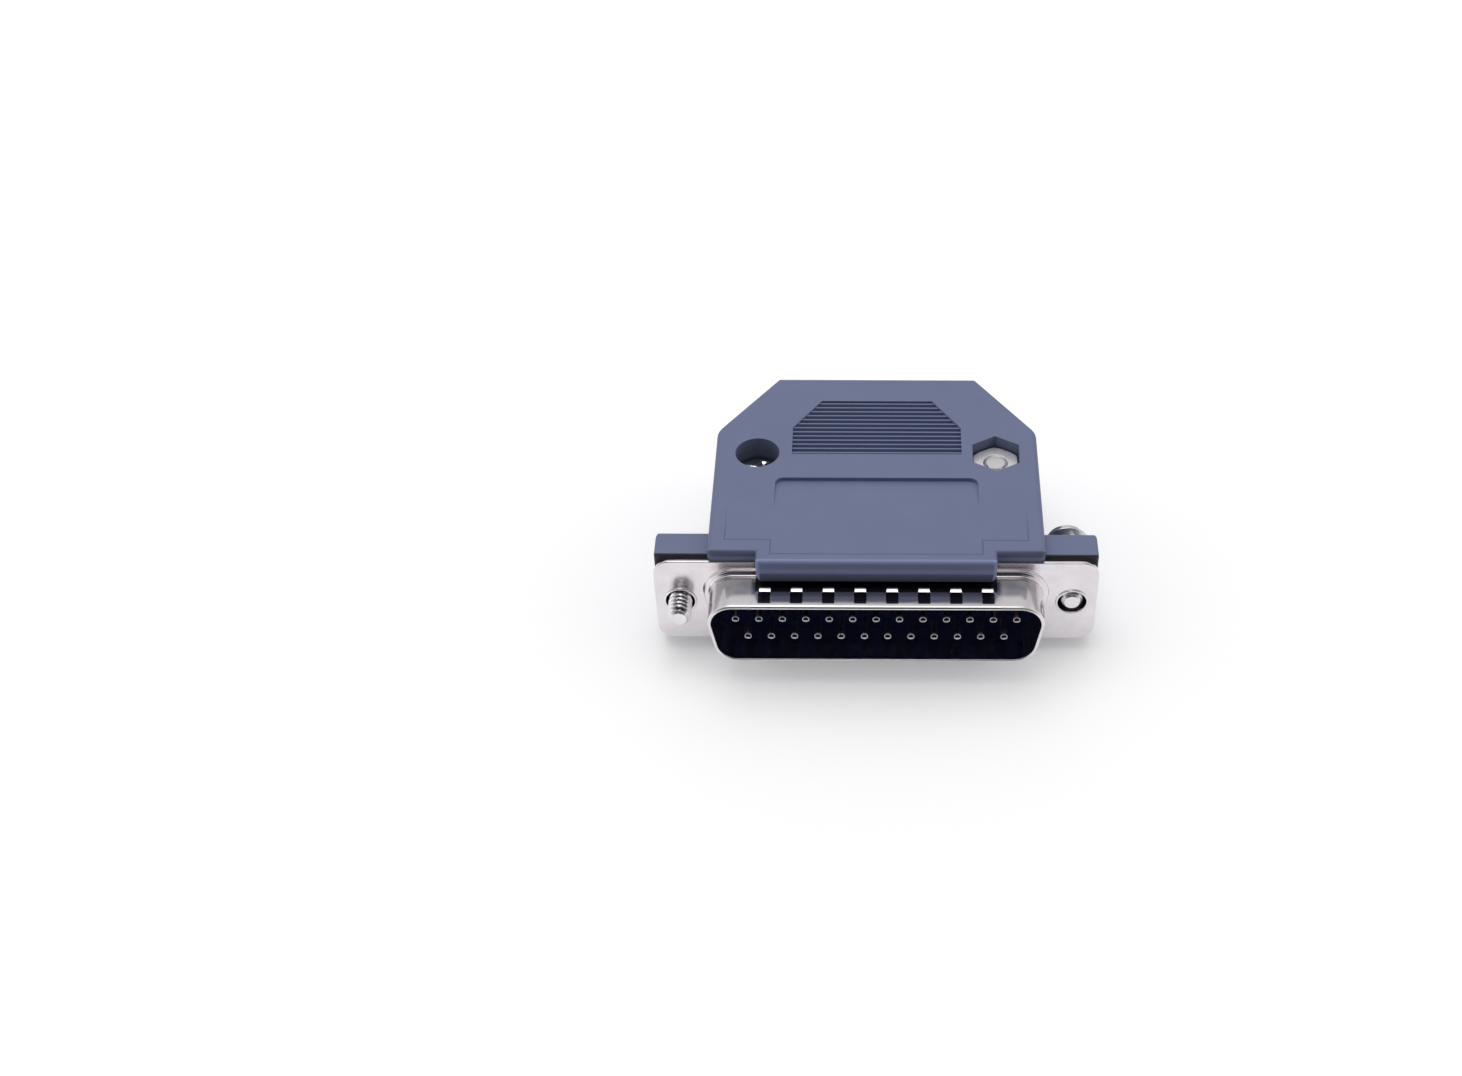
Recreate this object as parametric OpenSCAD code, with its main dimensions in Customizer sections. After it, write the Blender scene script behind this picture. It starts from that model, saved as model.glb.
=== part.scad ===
// Hooded 25-way d-sub plug, in millimetres.
// The origin is the centre of the flange's front face. +X is to the right of a person who looks
// at the plug from above and behind the mating side, +Y runs back to the cable, +Z is up.

/* [Shell] */
// Height of the mounting flange
flange_h = 12.55; // [12.2:0.01:12.7]
// Corner radius of the flange
flange_r = 2.1; // [0.5:0.1:3]
// Distance from the outermost contact to the skirt's inner side
skirt_side = 2.86; // [2.6:0.01:3]
// Distance from the skirt's inner side to the jackscrew
screw_side = 4.04; // [3.9:0.01:4.3]
// Distance from the jackscrew to the flange's end
flange_side = 3; // [2.5:0.01:4.5]
// Inside height of the D-shaped skirt
skirt_h = 8.36; // [8:0.01:8.5]
// Inside corner radius of the skirt
skirt_r = 2.6; // [2.2:0.1:2.8]
// Lean of the skirt's two ends
skirt_slope = 10; // [5:0.5:12]
// How far the skirt stands out of the flange
skirt_len = 5.84; // [5.3:0.01:6.5]
// Thickness of the drawn sheet
sheet = 0.45; // [0.35:0.01:0.5]
// Thickness of each flange plate
plate = 0.5; // [0.4:0.01:0.6]
// Width of the raised platform, from the skirt's inner side
platform_w = 1.15; // [1:0.01:1.3]
// Height of the raised platform
platform_h = 0.4; // [0.25:0.01:0.5]
// How much smaller the rear plate is on each edge
rear_inset = 0.45; // [0.1:0.01:0.5]
// Depth of the rear shell's collar, from the flange's front face
collar_back = 3.9; // [3.4:0.01:4.1]
// Width of the lip that the collar turns in over the insulator
lip_w = 0.6; // [0.4:0.05:0.8]

/* [Dimples] */
// Number of pressed dimples on each long side
dimple_n = 8; // [2:1:9]
// Distance between dimples
dimple_pitch = 3.75; // [3:0.01:4]
// Width of one dimple
dimple_w = 1.45; // [1:0.01:2]
// Length of one dimple along the skirt
dimple_len = 2.4; // [1.5:0.01:3]
// Depth of the dimples
dimple_depth = 0.3; // [0.1:0.01:0.4]
// Middle of the dimples, in front of the flange
dimple_front = 3.7; // [3:0.01:3.8]

/* [Contacts] */
// Contacts in the wide row
wide_row = 13; // [11:1:13]
// Distance between contacts in a row
pin_pitch = 2.77; // [2.6:0.01:2.8]
// Distance between the rows
row_pitch = 2.84; // [2.6:0.01:3]
// Diameter of a contact pin
pin_d = 1.02; // [0.9:0.01:1.1]
// How far the pin tips stay inside the skirt's rim
pin_inset = 1.2; // [0.5:0.01:1.5]
// Diameter of the shoulder that the insulators trap
shoulder_d = 1.7; // [1.5:0.01:1.9]
// Length of the shoulder
shoulder_len = 1; // [0.8:0.05:1.2]
// Outside diameter of a solder cup
cup_d = 2; // [1.8:0.01:2.2]
// Bore of a solder cup
cup_bore = 1.35; // [1.1:0.01:1.5]
// Length of a solder cup behind the insulator
cup_len = 6.2; // [5.5:0.1:6.5]
// Length of a solder cup's closed root
cup_root = 1.6; // [1.2:0.1:2]
// Front face of the front insulator, ahead of the flange's front face
insulator_front = 0.2; // [0:0.01:0.35]
// Where the two insulators meet, behind the flange's front face
insulator_split = 1.8; // [1.5:0.01:2]

/* [Hood] */
// How far the body's side stands outside the skirt
hood_side = 0.02; // [0:0.01:0.5]
// Height of one hood half
hood_h = 8.4; // [7.9:0.1:9]
// Back of the hood, behind the flange's front face
hood_back = 32.6; // [32.5:0.1:40]
// Start of the slanted back corners
slant_start = 21.4; // [21.2:0.1:22]
// Width of the hood's back face
back_w = 24.4; // [24:0.1:27]
// Wall thickness
wall = 1.5; // [1.3:0.05:1.7]
// Thickness of the back wall round the cable
back_wall = 1.8; // [1.5:0.05:2]
// How far the ears end short of the flange's ends
ear_inset = 0.12; // [0:0.01:0.4]
// How far the ears stand over the flange's long edges
ear_rise = 0.3; // [0.05:0.005:0.4]
// Back face of the ears
ear_back = 4.9; // [4.8:0.1:5.5]
// Thickness of the ear wall that the jackscrew's neck runs in
ear_wall = 1.2; // [1:0.05:1.4]
// Width of the tongue that hooks over the flange
tongue_w = 28.4; // [20:0.1:30]
// Front of the tongue, ahead of the flange's front face
tongue_front = 2.1; // [1.6:0.1:2.4]
// Gap between the tongue's lowest edge and the skirt
tongue_gap = 0.42; // [0.4:0.01:0.8]
// How far the body's front edge stands ahead of the flange
lip_front = 0.3; // [0.15:0.01:0.6]
// How far the body's front edge stands over the flange's top edge
lip_rise = 0.5; // [0.2:0.05:0.8]
// Radius of the body's and the tongue's top front edges
front_r = 0.5; // [0.4:0.05:1.2]
// Radius of the tongue's lower corners
low_r = 1.2; // [0.6:0.05:1.4]
// Radius of the body's side edges
side_r = 0.7; // [0.3:0.05:1]
// Clearance round the connector and its flange
seat_gap = 0.12; // [0.05:0.01:0.15]
// Radius of the pegs that locate the two halves
peg_r = 1; // [0.8:0.05:1.1]
// Height of the pegs
peg_h = 1.2; // [0.8:0.1:1.3]
// Wall round the pegs' holes
peg_wall = 0.9; // [0.7:0.05:1]

/* [Hood fastenings] */
// Distance from a hood screw to the body's side
hood_screw_side = 5.2; // [4.6:0.05:5.4]
// Hood screws, behind the flange's front face
hood_screw_y = 17.6; // [17:0.1:18]
// Diameter of the hood screws
hood_screw_d = 3; // [2.5:0.1:3]
// Length of the hood screws under the head
hood_screw_len = 10.5; // [9.5:0.1:10.8]
// Head diameter of the hood screws
hood_head_d = 5; // [5:0.1:5.6]
// Head height of the hood screws
hood_head_h = 2; // [1.6:0.1:2.2]
// Seat of the screw head, above the middle plane
head_seat = 3.6; // [3.2:0.05:3.7]
// Seat of the nut, above the middle plane
nut_seat = 4.5; // [4.1:0.05:4.6]
// Width across flats of the hood nuts
hood_nut_af = 5.5; // [5:0.1:5.5]
// Height of the hood nuts
hood_nut_h = 2.4; // [2:0.1:2.6]
// Gap round the heads and nuts in their pockets
pocket_gap = 0.15; // [0.05:0.01:0.25]
// Diameter of the pillars round the screws
pillar_d = 8.2; // [7.8:0.1:8.6]

/* [Hood relief] */
// Number of grip ribs
grip_n = 13; // [6:1:16]
// Distance between grip ribs
grip_pitch = 0.8; // [0.7:0.01:0.85]
// First grip rib, behind the flange's front face
grip_start = 17.8; // [17:0.1:18.5]
// Width of the grip at its widest
grip_w = 21; // [18:0.1:21.5]
// Width of the grip at the back
grip_back_w = 14; // [10:0.1:16]
// Length of the grip's slanted corners
grip_slant = 5.3; // [3:0.1:7]
// Depth of the grip's recess
grip_depth = 0.6; // [0.3:0.01:0.8]
// Width of the label recess
label_w = 24.7; // [18:0.1:26]
// Label recess, start behind the flange's front face
label_start = 7.6; // [7:0.1:8.5]
// Length of the label recess
label_len = 5.3; // [4:0.1:6]
// Depth of the label recess at its back edge
label_depth = 0.5; // [0.2:0.01:0.7]

/* [Jackscrews] */
// Thread diameter of the jackscrews
jack_d = 2.84; // [2.6:0.01:3]
// Diameter of their neck
neck_d = 2.2; // [1.9:0.01:2.3]
// Length of the thread
jack_thread = 3.8; // [3.4:0.1:4.2]
// Length over which the thread runs out towards the neck
thread_runout = 0.95; // [0.8:0.05:1.2]
// Travel of a jackscrew, from home until its thread meets the ear
jack_travel = 4.65; // [4:0.01:5]
// How far the left jackscrew stands back from home
left_draw = 1.55; // [0:0.01:3]
// Head diameter of the jackscrews
jack_head_d = 4.8; // [4.4:0.1:5.4]
// Head height of the jackscrews
jack_head_h = 1.7; // [1.4:0.1:2]
// Outside diameter of the washers
washer_d = 6; // [5:0.1:6]
// Hole of the washers
washer_hole = 3; // [2.9:0.01:3.3]
// Thickness of the washers
washer_t = 0.55; // [0.4:0.01:0.8]
// Play that is left at each end of the travel
stop_gap = 0.05; // [0.02:0.01:0.1]

/* [Eyelets] */
// Bore of the flange eyelets
eyelet_bore = 3.2; // [3.1:0.01:3.3]
// Wall of the flange eyelets
eyelet_wall = 0.22; // [0.2:0.01:0.35]
// Width of the rolled rim
eyelet_rim = 0.2; // [0.2:0.01:0.4]
// Height of the rolled rim
eyelet_h = 0.18; // [0.15:0.01:0.3]

/* [Cable clamp] */
// Diameter of the cable that the clamp grips
cable_d = 6.8; // [6:0.1:7.2]
// Thickness of the clamp's strip
clamp_t = 0.9; // [0.7:0.05:1]
// Width of the clamp's strip
clamp_w = 6; // [5:0.1:6]
// Distance from a clamp screw to the strip's end
clamp_end = 4.4; // [4:0.1:4.6]
// Gap between the two strips
clamp_split = 0.3; // [0.2:0.01:0.6]
// Gap between the saddle and the clamp screws' heads
clamp_head_gap = 0.45; // [0.2:0.01:0.6]
// Diameter of the clamp screws
clamp_screw_d = 2.5; // [2:0.1:2.5]
// Length of the clamp screws under the head
clamp_screw_len = 6; // [5:0.1:6.5]
// Head diameter of the clamp screws
clamp_head_d = 4.5; // [4:0.1:4.6]
// Head height of the clamp screws
clamp_head_h = 1.8; // [1.4:0.1:2]
// Width across flats of the clamp nuts
clamp_nut_af = 5; // [4.5:0.1:5]
// Height of the clamp nuts
clamp_nut_h = 2; // [1.6:0.1:2.2]
// Cable entry in the back wall, wider than the cable by
entry_gap = 1; // [0.6:0.1:1.4]

/* [Hidden] */
$fn = 96;
slop = 0.03;             // radial gap between a contact or screw and its hole
over = 1;                // how far a cut runs past a face
hair = 0.004;            // smallest step that is still modelled
contact_n = 2 * wide_row - 1;
function contact_name(i) = str("contact_", i < 10 ? "0" : "", i);

tin = [0.85, 0.83, 0.83];
steel = [0.8, 0.79, 0.78];
black = [0.07, 0.08, 0.13];
gold = [0.85, 0.8, 0.7];
slate = [0.44, 0.47, 0.58];

// The contacts set the skirt's inside width, the skirt the jackscrews and the hood's body, and
// the jackscrews the flange and its ears.
skirt_w = (wide_row - 1) * pin_pitch + 2 * skirt_side;
jack_x = skirt_w / 2 + screw_side;
flange_w = 2 * (jack_x + flange_side);
body_x = skirt_w / 2 + sheet + hood_side;
hood_w = 2 * body_x;
ear_x = flange_w / 2 - ear_inset;
ear_w = 2 * ear_x;
ear_h = flange_h / 2 + ear_rise;

// Every D outline has the same four corner centres and differs only in its radius.
skirt_cx = skirt_w / 2 - skirt_r;
skirt_cz = skirt_h / 2 - skirt_r;
low_cx = skirt_cx - 2 * skirt_cz * tan(skirt_slope);
skirt_out = skirt_r + sheet;
skirt_top = skirt_h / 2 + sheet;
// [x, z, first angle, last angle] of each corner, counter-clockwise from the right
D_CORNERS = [[skirt_cx, skirt_cz, -skirt_slope, 90],
             [-skirt_cx, skirt_cz, 90, 180 + skirt_slope],
             [-low_cx, -skirt_cz, 180 + skirt_slope, 270],
             [low_cx, -skirt_cz, 270, 360 - skirt_slope]];
platform_r = skirt_r + platform_w;
collar_r = platform_r;
pocket_r = collar_r - sheet;      // inside the collar and the platform
foot_step = sheet / 3;            // the bend at the skirt's foot stands this far out
flange_back = 2 * plate;

pocket_front = plate - platform_h;            // rear face of the platform's sheet
insulator_back = collar_back;
lip_in = pocket_r - lip_w;                    // radius of the rear shell's opening
shoulder_front = insulator_split;
cup_back = insulator_back + cup_len;
pin_tip = skirt_len - pin_inset;

slant = atan2(hood_w - back_w, 2 * (hood_back - slant_start));
roof = hood_h - wall;
seat_z = flange_h / 2 + seat_gap;             // top of the slot that holds the flange
tongue_low = skirt_top + tongue_gap;
pocket_x = skirt_cx + collar_r + seat_gap;
pocket_z = skirt_cz + collar_r + seat_gap;
pocket_back = collar_back + seat_gap;
thread_gap = 0.25;                            // room round the thread in the ear
ear_pocket_x = jack_d / 2 + thread_gap;       // half width of the hollow in the ear
ear_inner = ear_back - ear_wall;
neck_gap = 0.15;
runout_r = neck_d / 2 + neck_gap + slop;      // the thread's end still meets the ear

hood_x = body_x - hood_screw_side;
peg_gap = 0.5;                                // room round a peg's boss
peg_x = body_x - wall - peg_r - peg_gap;
peg_y = cup_back + peg_r + peg_wall + peg_gap;
thread_front = ear_inner - stop_gap - jack_travel - jack_thread;  // tip of a jackscrew at home
entry_r = cable_d / 2 + entry_gap / 2;
clamp_back = hood_back - back_wall - seat_gap;
clamp_y = clamp_back - clamp_w / 2;
clamp_z = clamp_split / 2;
clamp_face = clamp_z + clamp_t;
clamp_x = cable_d / 2 + clamp_t + clamp_head_gap + clamp_head_d / 2;
clamp_len = 2 * (clamp_x + clamp_end);
ledge_x = clamp_x + clamp_nut_af / 2 + pocket_gap;
ledge_end = clamp_len / 2 + 0.7;              // the ledges end inside the body's side walls
eyelet_r = eyelet_bore / 2 + eyelet_wall;

// Extrudes a drawing of x and z from y0 to y1.
module along_y(y0, y1) translate([0, y1, 0]) rotate([90, 0, 0]) linear_extrude(y1 - y0) children();

// Extrudes a drawing of y and z from x0 to x1.
module along_x(x0, x1) translate([x0, 0, 0]) rotate([90, 0, 90]) linear_extrude(x1 - x0) children();

// Turns a drawing of radius and y round the Y axis.
module round_y() rotate([-90, 0, 0]) rotate_extrude() children();

// Both sides of the middle, the second one mirrored.
module both_sides() for (side = [0, 1]) mirror([side, 0, 0]) children();

// What lies between a square corner at the origin and a round one of radius r.
module corner(r) difference() {
    square(r);
    translate([r, r]) circle(r);
}

function unit(v) = v / norm(v);

// A convex outline whose corners are true arcs, each with its own radius.
module rounded(points, radii) {
    n = len(points);
    function arm(i, step) = unit(points[(i + n + step) % n] - points[i]);
    function half(i) = acos(arm(i, -1) * arm(i, 1)) / 2;
    polygon([for (i = [0 : n - 1]) for (step = [-1, 1])
             points[i] + arm(i, step) * radii[i] / tan(half(i))]);
    for (i = [0 : n - 1])
        translate(points[i] + unit(arm(i, -1) + arm(i, 1)) * radii[i] / sin(half(i)))
            circle(radii[i]);
}

module rounded_box(w, h, r) rounded([[-w, -h], [w, -h], [w, h], [-w, h]] / 2, [r, r, r, r]);

// The D outline whose corners have radius r. Its flats lie a hair inside the corner arcs, so that
// each flat crosses its arc cleanly.
module d_outline(r) {
    flat = r - hair;
    polygon([for (c = D_CORNERS) for (a = [c[2], c[3]])
             [c[0] + flat * cos(a), c[1] + flat * sin(a)]]);
    for (c = D_CORNERS) translate([c[0], c[1]]) circle(r);
}

// A solid of the D outline from y0 to y1.
module d_block(r, y0, y1) along_y(y0, y1) d_outline(r);

// One flange plate between y0 and y1, with the holes for the eyelets.
module flange_plate(y0, y1, inset) along_y(y0, y1) difference() {
    rounded_box(flange_w - 2 * inset, flange_h - 2 * inset, flange_r - inset);
    for (side = [-1, 1]) translate([side * jack_x, 0]) circle(eyelet_r + slop);
}

// A pressed dimple as a drawing of y and z: its floor at z, its sloped ends up to z_top.
module dimple_profile(z, z_top, extra) {
    run = 1.2;                                // run of the sloped ends for each unit of depth
    ramp = run * (z_top - z);
    half = dimple_len / 2 + extra - run * dimple_depth;
    translate([-dimple_front, 0])
        polygon([[-half - ramp, z_top], [-half, z], [half, z], [half + ramp, z_top]]);
}

module each_dimple() for (i = [0 : dimple_n - 1])
    translate([(i - (dimple_n - 1) / 2) * dimple_pitch, 0, 0]) children();

// The front shell, drawn from one sheet: flange, raised platform and D-shaped skirt.
module front_shell() color(tin) {
    half_w = dimple_w / 2;
    side = sheet / 3;
    floor_z = skirt_top - dimple_depth;
    difference() {
        union() {
            difference() {
                union() {
                    flange_plate(0, plate, 0);
                    d_block(platform_r, -platform_h, plate);
                    d_block(skirt_out + foot_step, -platform_h - foot_step, 0);
                    d_block(skirt_out, -skirt_len, 0);
                }
                d_block(skirt_r, -skirt_len - over, plate);
                d_block(pocket_r, pocket_front, plate + over);
            }
            for (flip = [0, 1]) mirror([0, 0, flip]) each_dimple()
                along_x(-half_w - side, half_w + side)
                    dimple_profile(floor_z - sheet, skirt_top - sheet / 2, side);
        }
        for (flip = [0, 1]) mirror([0, 0, flip]) each_dimple()
            along_x(-half_w, half_w) dimple_profile(floor_z, skirt_top + over, 0);
    }
}

// The rear shell: plate, collar and the lip that is turned in over the insulator.
module rear_shell() color(tin) difference() {
    bend = sheet / 3;
    union() {
        flange_plate(plate, flange_back, rear_inset);
        d_block(collar_r, plate, collar_back - bend);
        d_block(collar_r - bend, plate, collar_back);
    }
    d_block(pocket_r, plate - over, collar_back - sheet);
    d_block(lip_in, plate - over, collar_back + over);
}

// Position of contact i: 1 to 13 along the upper row from the left, 14 to 25 along the lower.
function contact_x(i) = i <= wide_row
    ? (i - (wide_row + 1) / 2) * pin_pitch
    : (i - wide_row - wide_row / 2) * pin_pitch;
function contact_side(i) = i <= wide_row ? 1 : -1;

module each_contact() for (i = [1 : contact_n])
    translate([contact_x(i), 0, contact_side(i) * row_pitch / 2]) children();

module front_insulator() color(black) difference() {
    face_r = skirt_r - slop;
    sink = 0.25;
    union() {
        along_y(-insulator_front, insulator_split) d_outline(face_r);
        along_y(pocket_front, insulator_split) d_outline(pocket_r - slop);
    }
    each_contact() round_y() {
        translate([0, -insulator_front - over])
            square([pin_d / 2 + slop, insulator_front + insulator_split + 2 * over]);
        polygon([[0, -insulator_front], [pin_d / 2 + slop + sink, -insulator_front],
                 [pin_d / 2 + slop, -insulator_front + sink], [0, -insulator_front + sink]]);
    }
}

module rear_insulator() color(black) difference() {
    union() {
        along_y(insulator_split, collar_back - sheet) d_outline(pocket_r - slop);
        along_y(insulator_split, insulator_back) d_outline(lip_in - slop);
    }
    each_contact() {
        along_y(insulator_split - over, shoulder_front + shoulder_len)
            circle(shoulder_d / 2 + slop);
        along_y(insulator_split, insulator_back + over) circle(pin_d / 2 + slop);
    }
}

// A turned contact: rounded pin, trapped shoulder, stem and open solder cup.
module contact(i) color(gold) translate([contact_x(i), 0, contact_side(i) * row_pitch / 2]) {
    open_from = insulator_back + cup_root;
    tip_r = pin_d * 0.35;
    rotate([0, i <= wide_row ? 0 : 180, 0]) difference() {
        round_y() {
            difference() {
                translate([0, -pin_tip]) square([pin_d / 2, pin_tip + insulator_back]);
                translate([pin_d / 2, -pin_tip]) mirror([1, 0]) corner(tip_r);
            }
            translate([0, shoulder_front]) square([shoulder_d / 2, shoulder_len]);
            difference() {
                translate([0, insulator_back]) square([cup_d / 2, cup_len]);
                translate([0, open_from]) square([cup_bore / 2, cup_len]);
            }
        }
        // The upper half of the cup is cut away, and its end is rounded like a spoon.
        translate([-cup_d, open_from + cup_d / 2, 0]) cube([2 * cup_d, cup_len, cup_d]);
        translate([0, cup_back - cup_d / 2, 0]) difference() {
            translate([-cup_d, 0, -cup_d]) cube([2 * cup_d, cup_d, 2 * cup_d]);
            translate([0, 0, -cup_d]) cylinder(r = cup_d / 2 - 0.02, h = 2 * cup_d);
        }
    }
}

// The pressed eyelet that joins the two plates.
module flange_eyelet(side) color(steel) translate([side * jack_x, 0, 0]) round_y() difference() {
    rim_out = eyelet_r + eyelet_rim;
    translate([eyelet_bore / 2, 0]) union() {
        square([eyelet_wall, flange_back]);
        for (y = [-eyelet_h, flange_back]) translate([0, y])
            square([rim_out - eyelet_bore / 2, eyelet_h]);
    }
    translate([rim_out, -eyelet_h]) mirror([1, 0]) corner(eyelet_h * 0.9);
    translate([eyelet_bore / 2, -eyelet_h]) corner(eyelet_h * 0.9);
    translate([rim_out, flange_back + eyelet_h]) rotate(180) corner(eyelet_h * 0.9);
}

// Outline of the hood's body, set in by a margin.
module body_outline(inset, front, back_inset, r) {
    x = body_x - inset;
    x_back = back_w / 2 - inset / cos(slant) + back_inset * tan(slant);
    y_slant = slant_start - inset * tan(slant / 2);
    y_back = hood_back - back_inset;
    rounded([[-x, front], [x, front], [x, y_slant], [x_back, y_back], [-x_back, y_back],
             [-x, y_slant]], [r, r, r, r, r, r]);
}

// Outer form of the body: its plan, its front view and its side view in one.
module body_form() intersection() {
    linear_extrude(hood_h) body_outline(0, -lip_front, 0, side_r);
    along_y(-lip_front, hood_back)
        rounded([[-body_x, -hood_h], [body_x, -hood_h], [body_x, hood_h], [-body_x, hood_h]],
                [side_r, side_r, side_r, side_r]);
    along_x(-body_x, body_x)
        rounded([[-lip_front, -hood_h], [hood_back, -hood_h], [hood_back, hood_h],
                 [-lip_front, hood_h]], [front_r, side_r, side_r, front_r]);
}

// The ears behind the flange, with round outer corners.
module ear_form() {
    r = 0.9;
    soft = 0.35;
    intersection() {
        linear_extrude(ear_h)
            rounded([[-ear_x, flange_back], [ear_x, flange_back], [ear_x, ear_back],
                     [-ear_x, ear_back]], [soft, soft, r, r]);
        along_x(-ear_x, ear_x)
            rounded([[flange_back, -ear_h], [ear_back, -ear_h], [ear_back, ear_h],
                     [flange_back, ear_h]], [soft, soft, soft, soft]);
        along_y(flange_back, ear_back) rounded_box(ear_w, 2 * ear_h, soft);
    }
}

// The tongue that hooks over the flange's edge.
module tongue_form() {
    root = flange_back + 0.5;
    tip_r = 0.3;
    step_z = pocket_z;
    intersection() {
        along_x(-tongue_w / 2, tongue_w / 2) difference() {
            polygon([[-tongue_front, tongue_low], [-platform_h - seat_gap, tongue_low],
                     [-platform_h - seat_gap, step_z], [-seat_gap, step_z],
                     [-seat_gap, seat_z], [root, seat_z], [root, hood_h],
                     [-tongue_front, hood_h]]);
            translate([-tongue_front, hood_h]) mirror([0, 1]) corner(front_r);
            translate([-tongue_front, tongue_low]) corner(tip_r);
        }
        along_y(-tongue_front, root)
            rounded([[-tongue_w / 2, tongue_low], [tongue_w / 2, tongue_low],
                     [tongue_w / 2, hood_h], [-tongue_w / 2, hood_h]],
                    [low_r, low_r, front_r, front_r]);
        linear_extrude(hood_h)
            rounded([[-tongue_w / 2, -tongue_front], [tongue_w / 2, -tongue_front],
                     [tongue_w / 2, root], [-tongue_w / 2, root]],
                    [side_r, side_r, tip_r, tip_r]);
    }
}

// Opening of the flange's slot in a front view, up to a height, with the body's lower corners round.
module slot_view(top) {
    translate([-ear_x - over, -over]) square([ear_w + 2 * over, top + over]);
    for (side = [0, 1]) mirror([side, 0]) translate([body_x, top]) mirror([1, 0]) corner(side_r);
}

// Space for the flange in front of the ears, higher ahead of the flange than round it.
module flange_slot() {
    along_y(-over, flange_back) slot_view(seat_z);
    along_y(-lip_front - over, 0) slot_view(seat_z + lip_rise);
}

// Hollows of the two ears and the notches for the jackscrews' necks.
module ear_hollows() both_sides() translate([jack_x, 0, 0]) {
    translate([-ear_pocket_x, flange_back - over, -over])
        cube([2 * ear_pocket_x, ear_inner - flange_back + over, ear_h - wall + over]);
    along_y(ear_inner - over, ear_back + over) circle(neck_d / 2 + neck_gap);
    along_y(flange_back - over, flange_back + eyelet_h + seat_gap)
        circle(eyelet_r + eyelet_rim + seat_gap);
}

// Space for the wires, as deep as the wall allows.
module wire_space() difference() {
    translate([0, 0, -over]) linear_extrude(roof + over)
        body_outline(wall, pocket_back - over, back_wall, side_r);
    for (side = [-1, 1]) translate([side * hood_x, hood_screw_y, -over])
        cylinder(d = pillar_d, h = hood_h);
    both_sides() translate([peg_x, peg_y, -over]) cylinder(r = peg_r + peg_wall, h = hood_h);
    clamp_supports();
    stiffeners();
}

// The rib in front of the clamp and the ledges that its ends bear on.
module clamp_supports() {
    rib_t = 1.2;
    rib_back = clamp_back - clamp_w - seat_gap;
    difference() {
        translate([-body_x, rib_back - rib_t, -over]) cube([hood_w, rib_t, hood_h]);
        along_y(rib_back - rib_t - over, rib_back + over) circle(entry_r);
    }
    both_sides() translate([ledge_x, rib_back, clamp_face])
        cube([ledge_end - ledge_x, hood_back - rib_back, hood_h]);
}

// Three low ribs under the roof.
module stiffeners() {
    rib_w = wall * 2 / 3;
    rib_h = wall / 2;
    front = pocket_back + 1;
    for (i = [-1, 0, 1]) translate([i * tongue_w / 4 - rib_w / 2, front, roof - rib_h])
        cube([rib_w, hood_screw_y + 1 - front, rib_h + over]);
}

// The ribbed thumb grip.
module grip_cut() {
    y0 = grip_start - grip_pitch / 2;
    y1 = y0 + grip_n * grip_pitch;
    rib_h = grip_depth * 0.8;
    difference() {
        translate([0, 0, hood_h - grip_depth]) linear_extrude(grip_depth + over)
            polygon([[-grip_w / 2, y0], [grip_w / 2, y0], [grip_w / 2, y1 - grip_slant],
                     [grip_back_w / 2, y1], [-grip_back_w / 2, y1],
                     [-grip_w / 2, y1 - grip_slant]]);
        for (i = [0 : grip_n - 1])
            along_x(-grip_w / 2 - over, grip_w / 2 + over)
                translate([grip_start + i * grip_pitch, hood_h - grip_depth])
                    polygon([[-grip_pitch * 0.4, -over], [grip_pitch * 0.4, -over],
                             [grip_pitch * 0.15, rib_h], [-grip_pitch * 0.15, rib_h]]);
    }
}

// The label recess, deepest at its back edge and running out to the front.
module label_cut() intersection() {
    y1 = label_start + label_len;
    r = 1;
    r_front = 0.2;
    linear_extrude(hood_h + over)
        rounded([[-label_w / 2, label_start - over], [label_w / 2, label_start - over],
                 [label_w / 2, y1], [-label_w / 2, y1]], [r_front, r_front, r, r]);
    along_x(-label_w / 2, label_w / 2)
        polygon([[label_start, hood_h], [y1, hood_h - label_depth], [y1, hood_h + over],
                 [label_start, hood_h + over]]);
}

// One hood half. Two of them close on each other, the second turned over.
module hood_half() {
    difference() {
        union() {
            difference() {
                union() {
                    body_form();
                    ear_form();
                }
                flange_slot();
            }
            tongue_form();
        }
        translate([-pocket_x, flange_back - over, -over])
            cube([2 * pocket_x, pocket_back - flange_back + over, pocket_z + over]);
        ear_hollows();
        wire_space();
        for (side = [-1, 1]) translate([side * hood_x, hood_screw_y, -over])
            cylinder(d = hood_screw_d + 4 * pocket_gap, h = hood_h);
        translate([-hood_x, hood_screw_y, head_seat])
            cylinder(d = hood_head_d + 3 * pocket_gap, h = hood_h);
        translate([hood_x, hood_screw_y, nut_seat])
            hex_prism(hood_nut_af + 2 * pocket_gap, hood_h);
        translate([-peg_x, peg_y, -over]) cylinder(r = peg_r + 2 * slop, h = peg_h + 0.3 + over);
        along_y(clamp_back, hood_back + over) circle(entry_r);
        grip_cut();
        label_cut();
    }
    translate([peg_x, peg_y, -peg_h]) cylinder(r = peg_r, h = peg_h + 0.2);
}

module upper_hood() color(slate) hood_half();
module lower_hood() color(slate) rotate([0, 180, 0]) hood_half();

// A six-sided prism with two corners on the Y axis.
module hex_prism(af, h) rotate([0, 0, 30]) cylinder(d = af / cos(30), h = h, $fn = 6);

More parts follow.
